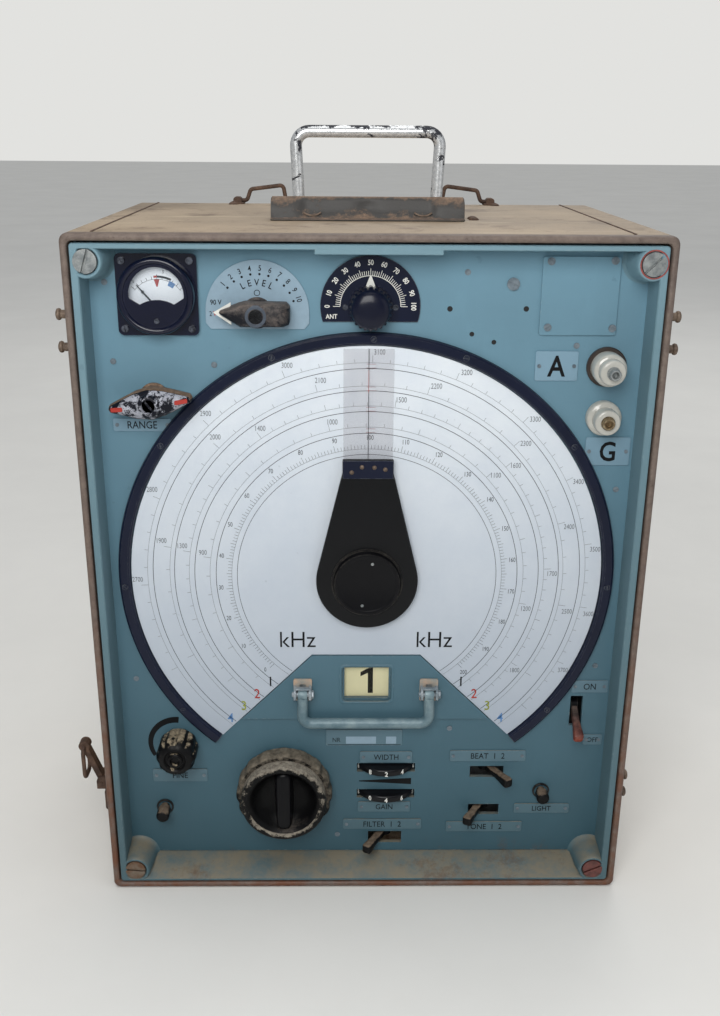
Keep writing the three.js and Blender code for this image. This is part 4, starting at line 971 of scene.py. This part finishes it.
# ------------------------------------------------------------------ antenna coupling
ax, az = pivot("antenna_turn")
by_antenna, on_antenna = fitter(ax, az), fitter(ax, az, "antenna_coupling")
outline = arc(30.9, -108, 108, 60)
by_antenna("antenna_plate", prism(outline, 0.25, PLATE_H, holes=[circle(3.4)]), "enamel",
           replaces=("antenna_scale_plate",), bevel=0.3)
ink = Shape()
for k in range(51):
    angle = -90 + 3.6 * k
    ink += tick(18.8, 23.0 if k % 5 == 0 else 21.6, angle, 0.36, PLATE_H)
for k in range(11):
    ink += around(str(10 * k), 3.3, 26.7, -90 + 18 * k, PLATE_H, weight=0.018, narrow=0.8)
ink += band(18.5, 18.9, -90, 90, PLATE_H, PLATE_H + INK)
ink += word("ANT", 2.9, -24.0, -6.2, PLATE_H, weight=0.015)
by_antenna("antenna_numbers", ink, "white")
pins = Shape()
for side, turn in ((-1, 40), (1, -30)):
    pins += screw(1.8, 1.0, 1.6, turn).on_panel(ax + side * 15.6, az - 0.5)
put("antenna_plate_screws", pins, "dark_steel", bevel=0.15)


def fluted(depth, count, low_h, high_h):
    """Cuts grooves into the side of a turned knob, between two heights."""
    def wave(angle, radius, h):
        if not low_h <= h <= high_h:
            return radius
        return radius - depth * (0.5 - 0.5 * math.cos(count * angle)) ** 2
    return wave


knob = lathe([(0, 1.4), (10.4, 1.4), (12.6, 2.2), (13.35, 3.2), (13.35, 12.0), (12.9, 13.0),
              (12.2, 13.6), (12.0, 14.4), (11.5, 15.8), (10.2, 17.1), (7.8, 18.1), (4.5, 18.65),
              (0, 18.8)], 288, fluted(1.1, 24, 2.0, 13.2))
on_antenna("antenna_knob", knob, "dome", replaces=("antenna_coupling_knob",), sharp=50)
wedge = prism([(-3.5, 11.0), (3.5, 11.0), (0.35, 19.0), (-0.35, 19.0)], 1.7, 2.3)
on_antenna("antenna_arrow", wedge, "white")

# ------------------------------------------------------------------ terminals
tx, tz = middle("antenna_insulator")
gx, gz = middle("earth_insulator")
bases = lathe([(0, 0.1), (12.6, 0.1), (12.6, 2.2), (11.9, 2.9), (0, 2.9)], 56).on_panel(tx, tz)
put("terminal_base", bases, "bakelite", sharp=40)
insulator = [(0, 2.6), (10.4, 2.6), (10.45, 12.2), (9.9, 13.5), (8.9, 14.0), (8.1, 14.4), (8.1, 19.4),
             (7.6, 20.6), (6.6, 21.0), (4.2, 21.0), (3.9, 20.6), (3.9, 18), (0, 18)]
put("antenna_ceramic", lathe(insulator, 56).on_panel(tx, tz), "ceramic",
    replaces=("antenna_insulator",), sharp=50)
insulator = [(0, 0.2), (11.2, 0.2), (11.2, 4.4), (10.6, 5.6), (9.4, 6.0), (8.2, 6.4), (8.2, 14.6),
             (7.7, 15.7), (6.8, 16.0), (4.6, 16.0), (4.3, 15.6), (4.3, 14), (0, 14)]
put("earth_ceramic", lathe(insulator, 56).on_panel(gx, gz), "ceramic", replaces=("earth_insulator",),
    sharp=50)


def socket(radius, back, front):
    bore = radius * 0.6
    ring = lathe([(radius, back), (radius, front - 0.7), (radius - 0.5, front), (bore + 0.3, front),
                  (bore, front - 0.4), (bore, front - 5), (bore, back)], 32, ring=True)
    seat = drum(bore + 0.1, front - 5.5, front - 5, 20)
    washer = lathe([(radius + 1.3, back - 0.2), (radius + 1.3, back + 0.7), (0, back + 0.7)], 32)
    return ring + seat + washer


put("antenna_socket_tube", socket(3.5, 20.2, 26.9).on_panel(tx, tz), "screw",
    replaces=("antenna_socket",), sharp=40)
put("earth_socket_tube", socket(4.0, 14.2, 18.9).on_panel(gx, gz), "brass", replaces=("earth_socket",),
    sharp=40)

# ------------------------------------------------------------------ main dial
dx, dz = pivot("pointer_turn")
on_dial, on_pointer = fitter(dx, dz), fitter(dx, dz, "pointer")
_, bezel_high = node_box("dial_bezel")
OUTER_R = bezel_high.x
INNER_R = 158.2
CUT = -20.1                   # where the two 45 degree cuts would meet, below the centre
SCALE_H = 1.5                 # the front of the dial's white face
FACE_R = 157.7


def end_angle(radius):
    """Where a circle meets the 45 degree cut, in degrees clockwise from the top."""
    return 45 + math.degrees(math.acos(CUT / (math.sqrt(2) * radius)))


ring_end = end_angle(INNER_R) - 0.2
section = [(INNER_R, 0.3), (INNER_R, 1.9), (INNER_R + 0.7, 3.3), (INNER_R + 1.8, 3.95),
           (OUTER_R - 1.8, 3.95), (OUTER_R - 0.5, 3.2), (OUTER_R, 1.8), (OUTER_R, 0.3)]
loops = []
for k in range(181):
    a = math.radians(-ring_end + 2 * ring_end * k / 180)
    loops.append([(r * math.sin(a), -h, r * math.cos(a)) for r, h in section])
on_dial("dial_ring", loft(loops), "enamel", replaces=("dial_bezel",), sharp=28)
pins = Shape()
for k, angle in enumerate((-128, -92, -55, -22, 1, 22, 55, 92, 128)):
    a = math.radians(angle)
    pins += screw(2.0, 3.8, 4.5, 37 * k).on_panel(dx + 162.3 * math.sin(a), dz + 162.3 * math.cos(a))
put("dial_ring_screws", pins, "enamel", bevel=0.15)

face_end = end_angle(FACE_R)
corner = 37.5
outline = arc(FACE_R, -face_end, face_end, 120) + [(corner, CUT - corner), (-corner, CUT - corner)]
on_dial("dial_face", prism(outline, 0.3, SCALE_H, holes=[circle(6.5)]), "dial",
        replaces=("dial_scale",))

dark_ink, pale_ink = Shape(), Shape()
for radius in (143.3, 129.0, 115.5, 101.2):
    dark_ink += band(radius - 0.18, radius + 0.18, -end_angle(radius) + 0.3, end_angle(radius) - 0.3,
                     SCALE_H, SCALE_H + INK, 120)
dark_ink += band(86.9, 87.2, -end_angle(87) + 0.4, end_angle(87) - 0.4, SCALE_H, SCALE_H + INK, 120)
for radius in (147.0, 132.1, 119.2, 105.3, 90.7):
    pale_ink += band(radius - 0.09, radius + 0.09, -end_angle(radius) + 0.3, end_angle(radius) - 0.3,
                     SCALE_H, SCALE_H + INK, 120)
# Each tuned band: its number radius and tick foot, the numbers shown, the step of its ticks, and
# three settings with their angles, joined by a smooth curve.
TUNED = (
    (154.0, 147.2, range(2700, 3701, 100), 20, ((2700, -92.0), (3100, 0.9), (3600, 98.3))),
    (139.0, 132.3, range(1900, 2501, 100), 20, ((1900, -80.4), (2200, 16.4), (2500, 98.6))),
    (125.0, 119.4, range(1300, 1801, 100), 10, ((1400, -35.1), (1500, 8.1), (1700, 86.8))),
    (111.0, 105.5, range(900, 1201, 100), 10, ((900, -82.0), (1000, -13.5), (1100, 47.2))),
)
for radius, foot, shown, step, anchors in TUNED:
    curve = np.polyfit([a[0] for a in anchors], [a[1] for a in anchors], 2)
    limit = end_angle(radius) - 4
    for value in range(shown[0] - 100, shown[-1] + 101, step):
        angle = float(np.polyval(curve, value))
        if abs(angle) < limit:
            tall = 4.6 if value % 100 == 0 else 3.4 if value % 50 == 0 else 2.2
            pale_ink += tick(foot, foot + tall, angle, 0.2, SCALE_H)
    for value in shown:
        angle = float(np.polyval(curve, value))
        if abs(angle) < limit:
            pale_ink += around(str(value), 3.5, radius, angle + 1.6, SCALE_H, upright=True, narrow=0.72)
for k in range(201):
    angle = (k - 100) * 1.355
    tall = 4.2 if k % 10 == 0 else 3.4 if k % 5 == 0 else 2.5
    dark_ink += tick(90.8, 90.8 + tall, angle, 0.2, SCALE_H)
    if k % 10 == 0:
        dark_ink += around(str(k), 3.2, 98.4, angle + 0.8, SCALE_H, upright=True, narrow=0.72)
on_dial("dial_lines", dark_ink, "pencil")
on_dial("dial_fine_lines", pale_ink, "grey")
units = word("kHz", 11.6, -47, -46, SCALE_H, weight=-0.004, narrow=0.92)
units += word("kHz", 11.6, 47, -46, SCALE_H, weight=-0.004, narrow=0.92)
for side in (-1, 1):
    units += word("1", 7.4, side * 66.5, CUT - 66.5 + 8, SCALE_H, weight=0.01)
on_dial("dial_units", units, "black")
for k, ink in ((1, "red"), (2, "yellow"), (3, "blue")):
    digits = Shape()
    for side in (-1, 1):
        x = 66.5 + 9.6 * k
        digits += word(str(k + 1), 7.4, side * x, CUT - x + 8, SCALE_H, weight=0.006)
    on_dial("dial_band_digit_%d" % (k + 1), digits, ink)

cover_low, cover_high = node_box("dial_lower_cover")
wx, wz = middle("band_window")
top_half = (CUT - 0.7) - (cover_high.z - dz)
bottom_half = (CUT - 0.7) - (cover_low.z - dz)
outline = [(-bottom_half, cover_low.z), (-top_half, cover_high.z), (top_half, cover_high.z),
           (bottom_half, cover_low.z)]
window_hole = [(x + wx, z + wz) for x, z in rounded(-17.8, -14.2, 17.8, 14.2, 3.4, 6)]
cover = prism(outline, 0.3, 2.35, holes=[window_hole])
put("dial_cover", cover.on_panel(), "panel", replaces=("dial_lower_cover",))
rim = []
for inset, h in ((-1.3, 2.3), (-0.9, 2.75), (0.1, 2.75), (0.7, 2.3), (0.9, 1.2), (0.4, 0.4)):
    rim.append([(wx + x, -h, wz + z) for x,
                z in rounded(-17.9 + inset, -14.3 + inset, 17.9 - inset, 14.3 - inset, 3.2, 6)])
put("window_rim", loft(rim, closed=True).on_panel(), "panel", sharp=50)
put("window_pane", prism(rounded(-17.2, -13.6, 17.2, 13.6, 2.6), 0.4, 1.4).on_panel(wx, wz), "pane",
    replaces=("band_window",), bevel=0.2)

bx, bz = pivot("band_turn")
disc_low, _ = node_box("band_disc")
disc_h = PANEL - disc_low.y
wheel = lathe([(0, disc_h - 46), (3, disc_h - 46), (3, disc_h - 1.5), (53, disc_h - 1.5),
               (53, disc_h - 0.2), (52.6, disc_h), (0, disc_h)], 96)
put("band_wheel", wheel.on_panel(bx, bz), "cream", body="band_indicator", replaces=("band_disc",))
digits = Shape()
for k in range(8):
    a = math.radians(180 + 45 * k)
    digits += numeral(k % 4 + 1, 20, 34 * math.cos(a), 34 * math.sin(a), disc_h, -45 * k)
put("band_wheel_digits", digits.on_panel(bx, bz), "black", body="band_indicator")

# ------------------------------------------------------------------ pull bail
_, bail_y, bail_z = joint_place("bail_swing")
bail_low, _ = node_box("pull_bail")
for side, name in ((-1, "left"), (1, "right")):
    mid = side * 44
    plate_z = bail_z - 2.2
    hasp = prism(rounded(-6.4, -5.4, 6.4, 11.4, 1.2), 2.4, 4.0,
                 holes=[rounded(-2.2, 3.4, 2.2, 7.6, 0.4)[::-1]])
    put("bail_plate_%s" % name, hasp.on_panel(mid, plate_z), "bracket",
        replaces=("bail_bracket_%s" % name,), bevel=0.35)
    ears = Shape()
    for x in (-5.2, 5.2):
        profile = [(PANEL - 3.6, bail_z - 5), (PANEL - 3.6, bail_z + 4.6), (bail_y - 1, bail_z + 4.4),
                   (bail_y - 3.2, bail_z + 3.2), (bail_y - 4.2, bail_z + 0.6),
                   (bail_y - 3.6, bail_z - 2.4), (bail_y - 1.4, bail_z - 4.2)]
        ears += along_x(profile, mid + x - 0.9, mid + x + 0.9)
    pin = lathe([(0, -7.4), (1.7, -7.4), (1.9, -6.8), (1.9, 6.8), (1.7, 7.4), (0, 7.4)], 24).turn(90,
                                                                                                  "Z")
    nut = lathe([(0, 6.1), (3.0, 6.1), (3.0, 7.6), (2.4, 8.0), (0, 8.0)], 6).turn(90, "Z")
    knuckle = arc(5.3, -100, 26, 14) + arc(4.3, 26, -100, 14)
    knuckle = [(bail_y - x, bail_z + z) for x, z in knuckle]
    ears += along_x(knuckle, mid - 4.4, mid + 4.4)
    put("bail_ears_%s" % name, ears + (pin + nut).move(mid, bail_y, bail_z), "clevis", bevel=0.3)
    window_steel = prism(rounded(-2.4, 3.2, 2.4, 7.8, 0.3), 2.2, 2.9)
    put("bail_plate_steel_%s" % name, window_steel.on_panel(mid, plate_z), "screw", bevel=0.2)
leg_x = 43.9
bar_z = bail_low.z + 2.2
path = smooth_path([(-leg_x, bail_y, bail_z - 2), (-leg_x - 0.6, bail_y, bar_z),
                    (leg_x + 0.6, bail_y, bar_z), (leg_x, bail_y, bail_z - 2)], 6.5)
wire = tube(path, 3.7, 24)
for x in (-leg_x, leg_x):
    eye = lathe([(2.3, -3.1), (3.6, -3.1), (3.8, -2.6), (3.8, 2.6), (3.6, 3.1), (2.3, 3.1)], 28,
                ring=True)
    wire += eye.turn(90, "Z").move(x, bail_y, bail_z)
put("bail_wire", wire, "bail", body="bail", replaces=("pull_bail",), sharp=45)

serial = prism(rounded(-28, 106, 26.4, 119, 1.0), 0.1, 0.7).on_panel()
put("serial_plate", serial, "label", bevel=0.2)
boxes = prism(rounded(-13.8, 107.7, 7.7, 113.5, 0.3), 0.6,
              0.85) + prism(rounded(14.8, 107.7, 22.1, 113.5, 0.3), 0.6, 0.85)
put("serial_boxes", boxes.on_panel(), "scale", bevel=0.08)
frets = bar(-26.6, 106.6, 25.4, 107.0, 0.68, 0.74) + word("NR", 3.4, -20.5, 110.8, 0.7)
put("serial_words", frets.on_panel(), "black")

# ------------------------------------------------------------------ pointer
_, arm_high = node_box("pointer_arm")
HUB_R, NECK_HALF = 34.0, 16.5
NECK_TOP = arm_high.z - dz - 9
tangent = math.degrees(math.atan2(NECK_TOP,
                                  NECK_HALF) - math.acos(HUB_R / math.hypot(NECK_TOP, NECK_HALF)))
outline = arc(HUB_R, 90 - tangent, 270 + tangent, 72) + [(-NECK_HALF, NECK_TOP),
                                                         (-NECK_HALF, NECK_TOP + 9),
                                                         (NECK_HALF, NECK_TOP + 9),
                                                         (NECK_HALF, NECK_TOP)]
on_pointer("pointer_blade", prism(outline, 4.3, 7.9), "cap", replaces=("pointer_arm",), bevel=0.7,
           segments=3)
strap = bar(-NECK_HALF + 0.1, NECK_TOP - 3.4, NECK_HALF - 0.1, NECK_TOP + 8.8, 7.8, 8.7, 0.4)
on_pointer("pointer_strap", strap, "enamel", bevel=0.3)
rivets = Shape()
for x, z in ((-10.5, NECK_TOP + 1), (-4, NECK_TOP + 4.5), (4, NECK_TOP + 4.3), (11, NECK_TOP + 3)):
    rivets += lathe([(1.5, 8.5), (1.4, 9.0), (0.8, 9.4), (0, 9.5)], 20).on_panel(dx + x, dz + z)
put("pointer_rivets", rivets, "stud", body="pointer", sharp=60)
cap = lathe([(0, 7.9), (23.9, 7.9), (23.9, 8.6), (22.5, 8.8), (22.5, 12.4), (21.9, 13.6), (20.6, 14),
             (19.0, 13.4), (18.6, 13.2), (0, 13.2)], 96)
on_pointer("pointer_cap", cap, "plastic", replaces=("pointer_hub_cap",), sharp=40)
dots = lathe([(1.1, 13.1), (1.0, 13.4), (0, 13.5)], 16)
put("pointer_cap_dots", dots.on_panel(dx + 3.4, dz + 15) + dots.on_panel(dx - 3.2, dz - 15), "screw",
    body="pointer")
RED_FROM, RED_TO = 128, 142.5  # the red part of the cursor's line
cursor_low, cursor_high = node_box("pointer_cursor")
pane = bar(cursor_low.x, cursor_low.z, cursor_high.x, cursor_high.z, 2.9, 3.7, 0.5)
put("pointer_pane", pane.on_panel(), "clear", body="pointer", replaces=("pointer_cursor",), bevel=0.15)
def hairline(low, high):
    return bar(-0.17, low, 0.17, high, 2.72, 2.9)


hair = hairline(cursor_low.z - dz + 10, RED_FROM) + hairline(RED_TO, 156)
red_hair = hairline(RED_FROM, RED_TO)
gates, frames = Shape(), Shape()
for radius in (145.2, 130.6, 117.4, 103.3):
    gates += bar(-1.4, radius - 1.1, 4.4, radius + 1.1, 2.66, 2.86)
    for z in (radius - 1.25, radius + 1.1):
        frames += bar(-1.5, z, 4.5, z + 0.15, 2.7, 2.88)
on_pointer("pointer_hairline", hair, "black")
on_pointer("pointer_red_line", red_hair + frames, "red")
on_pointer("pointer_gates", gates, "dial")

# ------------------------------------------------------------------ range switch knob
rx, rz = pivot("range_turn")
on_range = fitter(rx, rz, "range_switch")
TILT = -7.4
BOAT = ((-26, 0), (-25.2, -1.9), (-17, -5.1), (-9, -8.0), (0, -9.8), (9, -8.0), (17, -5.1),
        (25.2, -1.9), (26, 0), (25.2, 2.0), (17, 5.2), (9, 8.1), (0, 9.8), (-9, 8.1), (-17, 5.2),
        (-25.2, 2.0))


def boat_loops(steps):
    return [[(x * wide, -h, z * tall) for x, z in BOAT] for wide, tall, h in steps]


sides = loft(boat_loops(((0.84, 0.9, 8.2), (0.97, 0.98, 9.6), (1, 1, 12), (1, 1, 17.5),
                         (0.985, 0.97, 19.4))))
sides += lathe([(0, 0.4), (9.6, 0.4), (9.6, 1.8), (8.4, 2.4), (8.4, 9.6), (0, 9.6)], 48)
on_range("range_wing_body", sides.turn(TILT), "wing_side", replaces=("range_knob",), sharp=38)
crest = loft(boat_loops(((0.975, 0.95, 18.6), (0.965, 0.93, 20.0), (0.90, 0.82, 21.4),
                         (0.74, 0.62, 22.8), (0.5, 0.44, 23.6))))
crest += lathe([(7.4, 18), (7.2, 23.6), (6.6, 25.2), (5.6, 25.9), (4.6, 25.9), (4.2, 25.2), (4.2, 21)],
               48, ring=True)
on_range("range_wing_top", crest.turn(TILT), "wing", sharp=60)
socket_disc = screw(4.0, 20.5, 23.6, 60, 0.35, 0.6)
on_range("range_hub_screw", socket_disc.turn(TILT), "cap", bevel=0.3)
marks = Shape()
for side in (-1, 1):
    marks += loft([[(side * x, 0.26 * (x - 16.5) - h, z) for x,
                    z in rounded(16.2, -1.4 * s, 23.8, 1.4 * s, 0.7)] for s,
                   h in ((1.0, 21.5), (1.0, 23.5), (0.85, 23.9))])
on_range("range_red_marks", marks.turn(TILT), "red", sharp=50)

# ------------------------------------------------------------------ tuning knob
ux, uz = pivot("tuning_turn")
on_tuning = fitter(ux, uz, "tuning")
rear = lathe([(0, 0.7), (33.2, 0.7), (34.1, 1.6), (34.35, 3), (34.35, 10.2), (33.7, 11.8), (32.4, 12.6),
              (25.6, 12.6), (25.6, 7.4), (0, 7.4)], 288, fluted(1.3, 16, 1.2, 12.0))
on_tuning("tuning_rear_tier", rear, "tier", replaces=("tuning_knob",), sharp=45)
front = lathe([(28, 12.2), (30.2, 12.2), (30.2, 19.4), (29.7, 21.0), (28.6, 21.8), (27.0, 21.9),
               (25.6, 21.2), (24.6, 19.6), (24.6, 12.2)], 144, ring=True)
on_tuning("tuning_front_tier", front, "chipped", sharp=45)
bowl = lathe([(0, 7.6), (25, 7.6), (25.4, 20.7), (24.4, 20.2), (22.6, 16.8), (19.4, 12.6), (15, 9.9),
              (9, 8.8), (0, 8.6)], 96)
on_tuning("tuning_bowl", bowl, "bowl", sharp=45)
loops = []
for wide, tall, h in ((7.0, 24.6, 8.2), (6.1, 24.2, 11), (5.3, 23.6, 16.5), (4.8, 22.6, 18.8),
                      (3.7, 21, 19.8)):
    loops.append([(x, -h, z) for x, z in rounded(-wide, -tall, wide, tall, wide * 0.9, 6)])
on_tuning("tuning_grip_bar", loft(loops), "plastic", sharp=50)
boss = lathe([(0, 8), (5.4, 8), (5.4, 12), (4.8, 13), (0, 13)], 40)
on_tuning("tuning_hub", boss, "cap")

# ------------------------------------------------------------------ fine tuning knob and its arc
vx, vz = pivot("fine_turn")
small = lathe([(0, 0.6), (12.2, 0.6), (13.4, 2.2), (14.0, 4.5), (14.0, 16.6), (13.3, 19.6),
               (11.6, 22.0), (9.4, 23.4), (8.0, 23.8), (7.2, 23.2), (6.6, 22.2), (5.6, 22.2),
               (5.2, 23.4), (4.4, 24.0), (3.6, 24.0), (3.1, 23.2), (2.9, 21.8), (0, 21.6)], 200,
              fluted(1.5, 10, 1.5, 21.0))
put("fine_knob_body", small.on_panel(vx, vz), "knob", body="fine_tune", replaces=("fine_tune_knob",),
    sharp=50)
put("fine_arc_mark", band((16.6, 17.2), (21.4, 20.2), 6, -122, 0.0, 0.12, 40).on_panel(vx - 1.8, vz),
    "black")

# ------------------------------------------------------------------ thumbwheels
for name, node, texts in (("bandwidth", "bandwidth_wheel", "23456789"),
                          ("volume", "volume_wheel", "45678901")):
    cx, cy, cz = joint_place("%s_turn" % name)
    low, high = node_box(node)
    thick = (high.z - low.z) / 2
    disc = lathe([(0, -thick), (21.6, -thick), (22.4, -thick + 0.5), (22.9, -thick + 1.2),
                  (22.9, thick - 1.2), (22.4, thick - 0.5), (21.6, thick), (0, thick)], 192).turn(90,
                                                                                                  "X")
    put("%s_disc" % name, disc.move(cx, cy, cz), "wheel", body=name, replaces=(node,), sharp=40)
    digits = Shape()
    for k in range(24):
        angle = 15 * k
        digit = texts[k % len(texts)]
        mark = word(digit, 3.9, 0, 0, 22.9, weight=0.02) if k % 2 == 0 else Shape()
        digits += mark.turn(angle, "Z").move(cx, cy, cz)
    put("%s_digits" % name, digits, "white", body=name)
put("wheel_wedge_mark", prism([(-4.2, 75.6), (-4.2, 76.4), (33.6, 78.4), (33.6, 73.2)], 0.0,
                              0.12).on_panel(), "black")

# ------------------------------------------------------------------ push buttons and levers
for name in ("left", "right"):
    low, high = node_box("push_button_%s" % name)
    x, z = middle("push_button_%s" % name)
    proud = PANEL - low.y
    stem = lathe([(0, -8), (3, -8), (3, 0.4), (3.0, 3.7), (4.5, 3.7), (4.6, 4.4), (4.6, proud - 1.6),
                  (4.2, proud - 0.6), (3.2, proud - 0.1), (2.4, proud - 0.4), (0, proud - 0.7)], 40)
    put("button_%s_cap" % name, stem.on_panel(x, z), "lever", body="button_%s" % name,
        replaces=("push_button_%s" % name,), sharp=45)
    collar = lathe([(6.2, 0), (6.2, 0.9), (5.8, 1.3), (5.0, 1.3), (5.0, 0)], 40, ring=True)
    put("button_%s_collar" % name, collar.on_panel(x, z), "plastic")

LEAN, REACH = 29.0, 29.3      # a lever's angle at rest, and its length


def lever_shape(axis):
    """A bent finger pointing at the user from its pivot; axis is the one that it swings about."""
    loops = []
    for reach, wide, deep in ((0, 3.4, 2.3), (9, 3.0, 2.3), (15, 2.8, 2.4), (20, 2.9, 2.8),
                              (24, 3.2, 3.2),
                              (27, 3.3, 3.4), (28.6, 3.1, 3.2), (REACH, 2.5, 2.6)):
        across = (wide, deep) if axis == "Z" else (deep, wide)
        loops.append([(x, -reach, z) for x,
                      z in rounded(-across[0], -across[1], across[0], across[1], 1.3, 4)])
    return loft(loops)


for name, side, node in (("mode", 1, "mode_lever"), ("tone", -1, "tone_lever"),
                         ("filter", -1, "filter_lever")):
    x, y, z = joint_place("%s_throw" % name)
    finger = lever_shape("Z").turn(side * LEAN, "Z").move(x, y, z)
    put("%s_finger" % name, finger, "lever", body="%s_switch" % name, replaces=(node,), sharp=45)
    hub = drum(5, -2.4, 2.4, 32).turn(90, "X").move(x, y, z)
    put("%s_lever_hub" % name, hub, "plastic", body="%s_switch" % name)
x, y, z = joint_place("power_throw")
finger = lever_shape("X").turn(LEAN, "X").move(x, y, z)
put("power_finger", finger, "red_brown", body="power_switch", replaces=("power_lever",), sharp=45)
hub = drum(5, -2.4, 2.4, 32).turn(90, "Z").move(x, y, z)
put("power_lever_hub", hub, "plastic", body="power_switch")

# ------------------------------------------------------------------ pieces that keep their CAD shape
KEPT = {"front_panel": "panel", "chassis_deck": "aluminium", "coil_turret": "aluminium",
        "pointer_shaft": "steel", "main_gear": "brass", "idler_gear": "brass", "tuning_pinion": "brass",
        "capacitor_rotor": "aluminium", "capacitor_stator": "aluminium", "chassis_transformer": "iron",
        "radio_tube_1": "tube_glass", "radio_tube_2": "tube_glass", "radio_tube_3": "tube_glass"}
for node, material in KEPT.items():
    for slot in bpy.data.objects[node].material_slots:
        slot.material = MATERIALS[material]

# ------------------------------------------------------------------ floor, light and camera
floor_mesh = bpy.data.meshes.new("floor")
floor_mesh.from_pydata([(-15, -15, 0), (15, -15, 0), (15, 15, 0), (-15, 15, 0)], [], [(0, 1, 2, 3)])
floor_mesh.materials.append(plain("floor_pale", "e6e5e1", 0.9, 0.0, 0.03, 3, 0.02))
floor = bpy.data.objects.new("floor", floor_mesh)
bpy.context.scene.collection.objects.link(floor)

# The world is pale where the camera sees it, and dimmer as a light.
world = bpy.data.worlds.new("world")
world.use_nodes = True
tree = world.node_tree
ambient = tree.nodes["Background"]
ambient.inputs["Color"].default_value = (0.86, 0.92, 1.0, 1)
ambient.inputs["Strength"].default_value = 0.22
backdrop = tree.nodes.new("ShaderNodeBackground")
backdrop.inputs["Color"].default_value = (0.76, 0.76, 0.74, 1)
rays, choice = tree.nodes.new("ShaderNodeLightPath"), tree.nodes.new("ShaderNodeMixShader")
tree.links.new(rays.outputs["Is Camera Ray"], choice.inputs[0])
tree.links.new(ambient.outputs[0], choice.inputs[1])
tree.links.new(backdrop.outputs[0], choice.inputs[2])
tree.links.new(choice.outputs[0], tree.nodes["World Output"].inputs["Surface"])
bpy.context.scene.world = world
bpy.context.scene.view_settings.view_transform = "Standard"


def area_light(name, place, target, size, energy, colour):
    lamp = bpy.data.lights.new(name, "AREA")
    lamp.size, lamp.energy, lamp.color = size, energy, colour
    holder = bpy.data.objects.new(name, lamp)
    holder.visible_camera = False
    holder.location = place
    holder.rotation_euler = (Vector(target) - Vector(place)).to_track_quat("-Z", "Y").to_euler()
    bpy.context.scene.collection.objects.link(holder)


area_light("key", (-0.14, -0.88, 0.80), (0, 0, 0.36), 0.5, 6.2, (1.0, 0.99, 0.97))
area_light("fill", (1.5, -1.0, 0.8), (0, 0, 0.3), 1.2, 2.2, (0.95, 0.97, 1.0))
area_light("back", (0.4, 1.6, 1.9), (0, 0, 0.2), 1.4, 12, (1.0, 0.99, 0.97))

# A wide soft light straight down keeps the floor even, near and far.
sky = bpy.data.lights.new("sky", "SUN")
sky.energy, sky.angle, sky.color = 1.1, math.radians(50), (1.0, 0.99, 0.97)
bpy.context.scene.collection.objects.link(bpy.data.objects.new("sky", sky))

CAMERA_AT = (-0.01499, -0.76617, 0.52508)
LENS_MM = 37.745
PITCH, YAW, ROLL = (math.radians(value) for value in (19.855, 0.874, 0.409))
along = Vector((math.sin(YAW) * math.cos(PITCH), math.cos(YAW) * math.cos(PITCH), -math.sin(PITCH)))
level = Vector((math.cos(YAW), -math.sin(YAW), 0))
upright = level.cross(along)
right = level * math.cos(ROLL) + upright * math.sin(ROLL)
up = upright * math.cos(ROLL) - level * math.sin(ROLL)
lens = bpy.data.cameras.new("camera")
lens.lens, lens.sensor_width = LENS_MM, 36.0
camera = bpy.data.objects.new("camera", lens)
axes = Matrix((right, up, -along)).transposed().to_4x4()
camera.matrix_world = Matrix.Translation(CAMERA_AT) @ axes
bpy.context.scene.collection.objects.link(camera)
bpy.context.scene.camera = camera

# ------------------------------------------------------------------ last update of the view layer
bpy.context.view_layer.update()
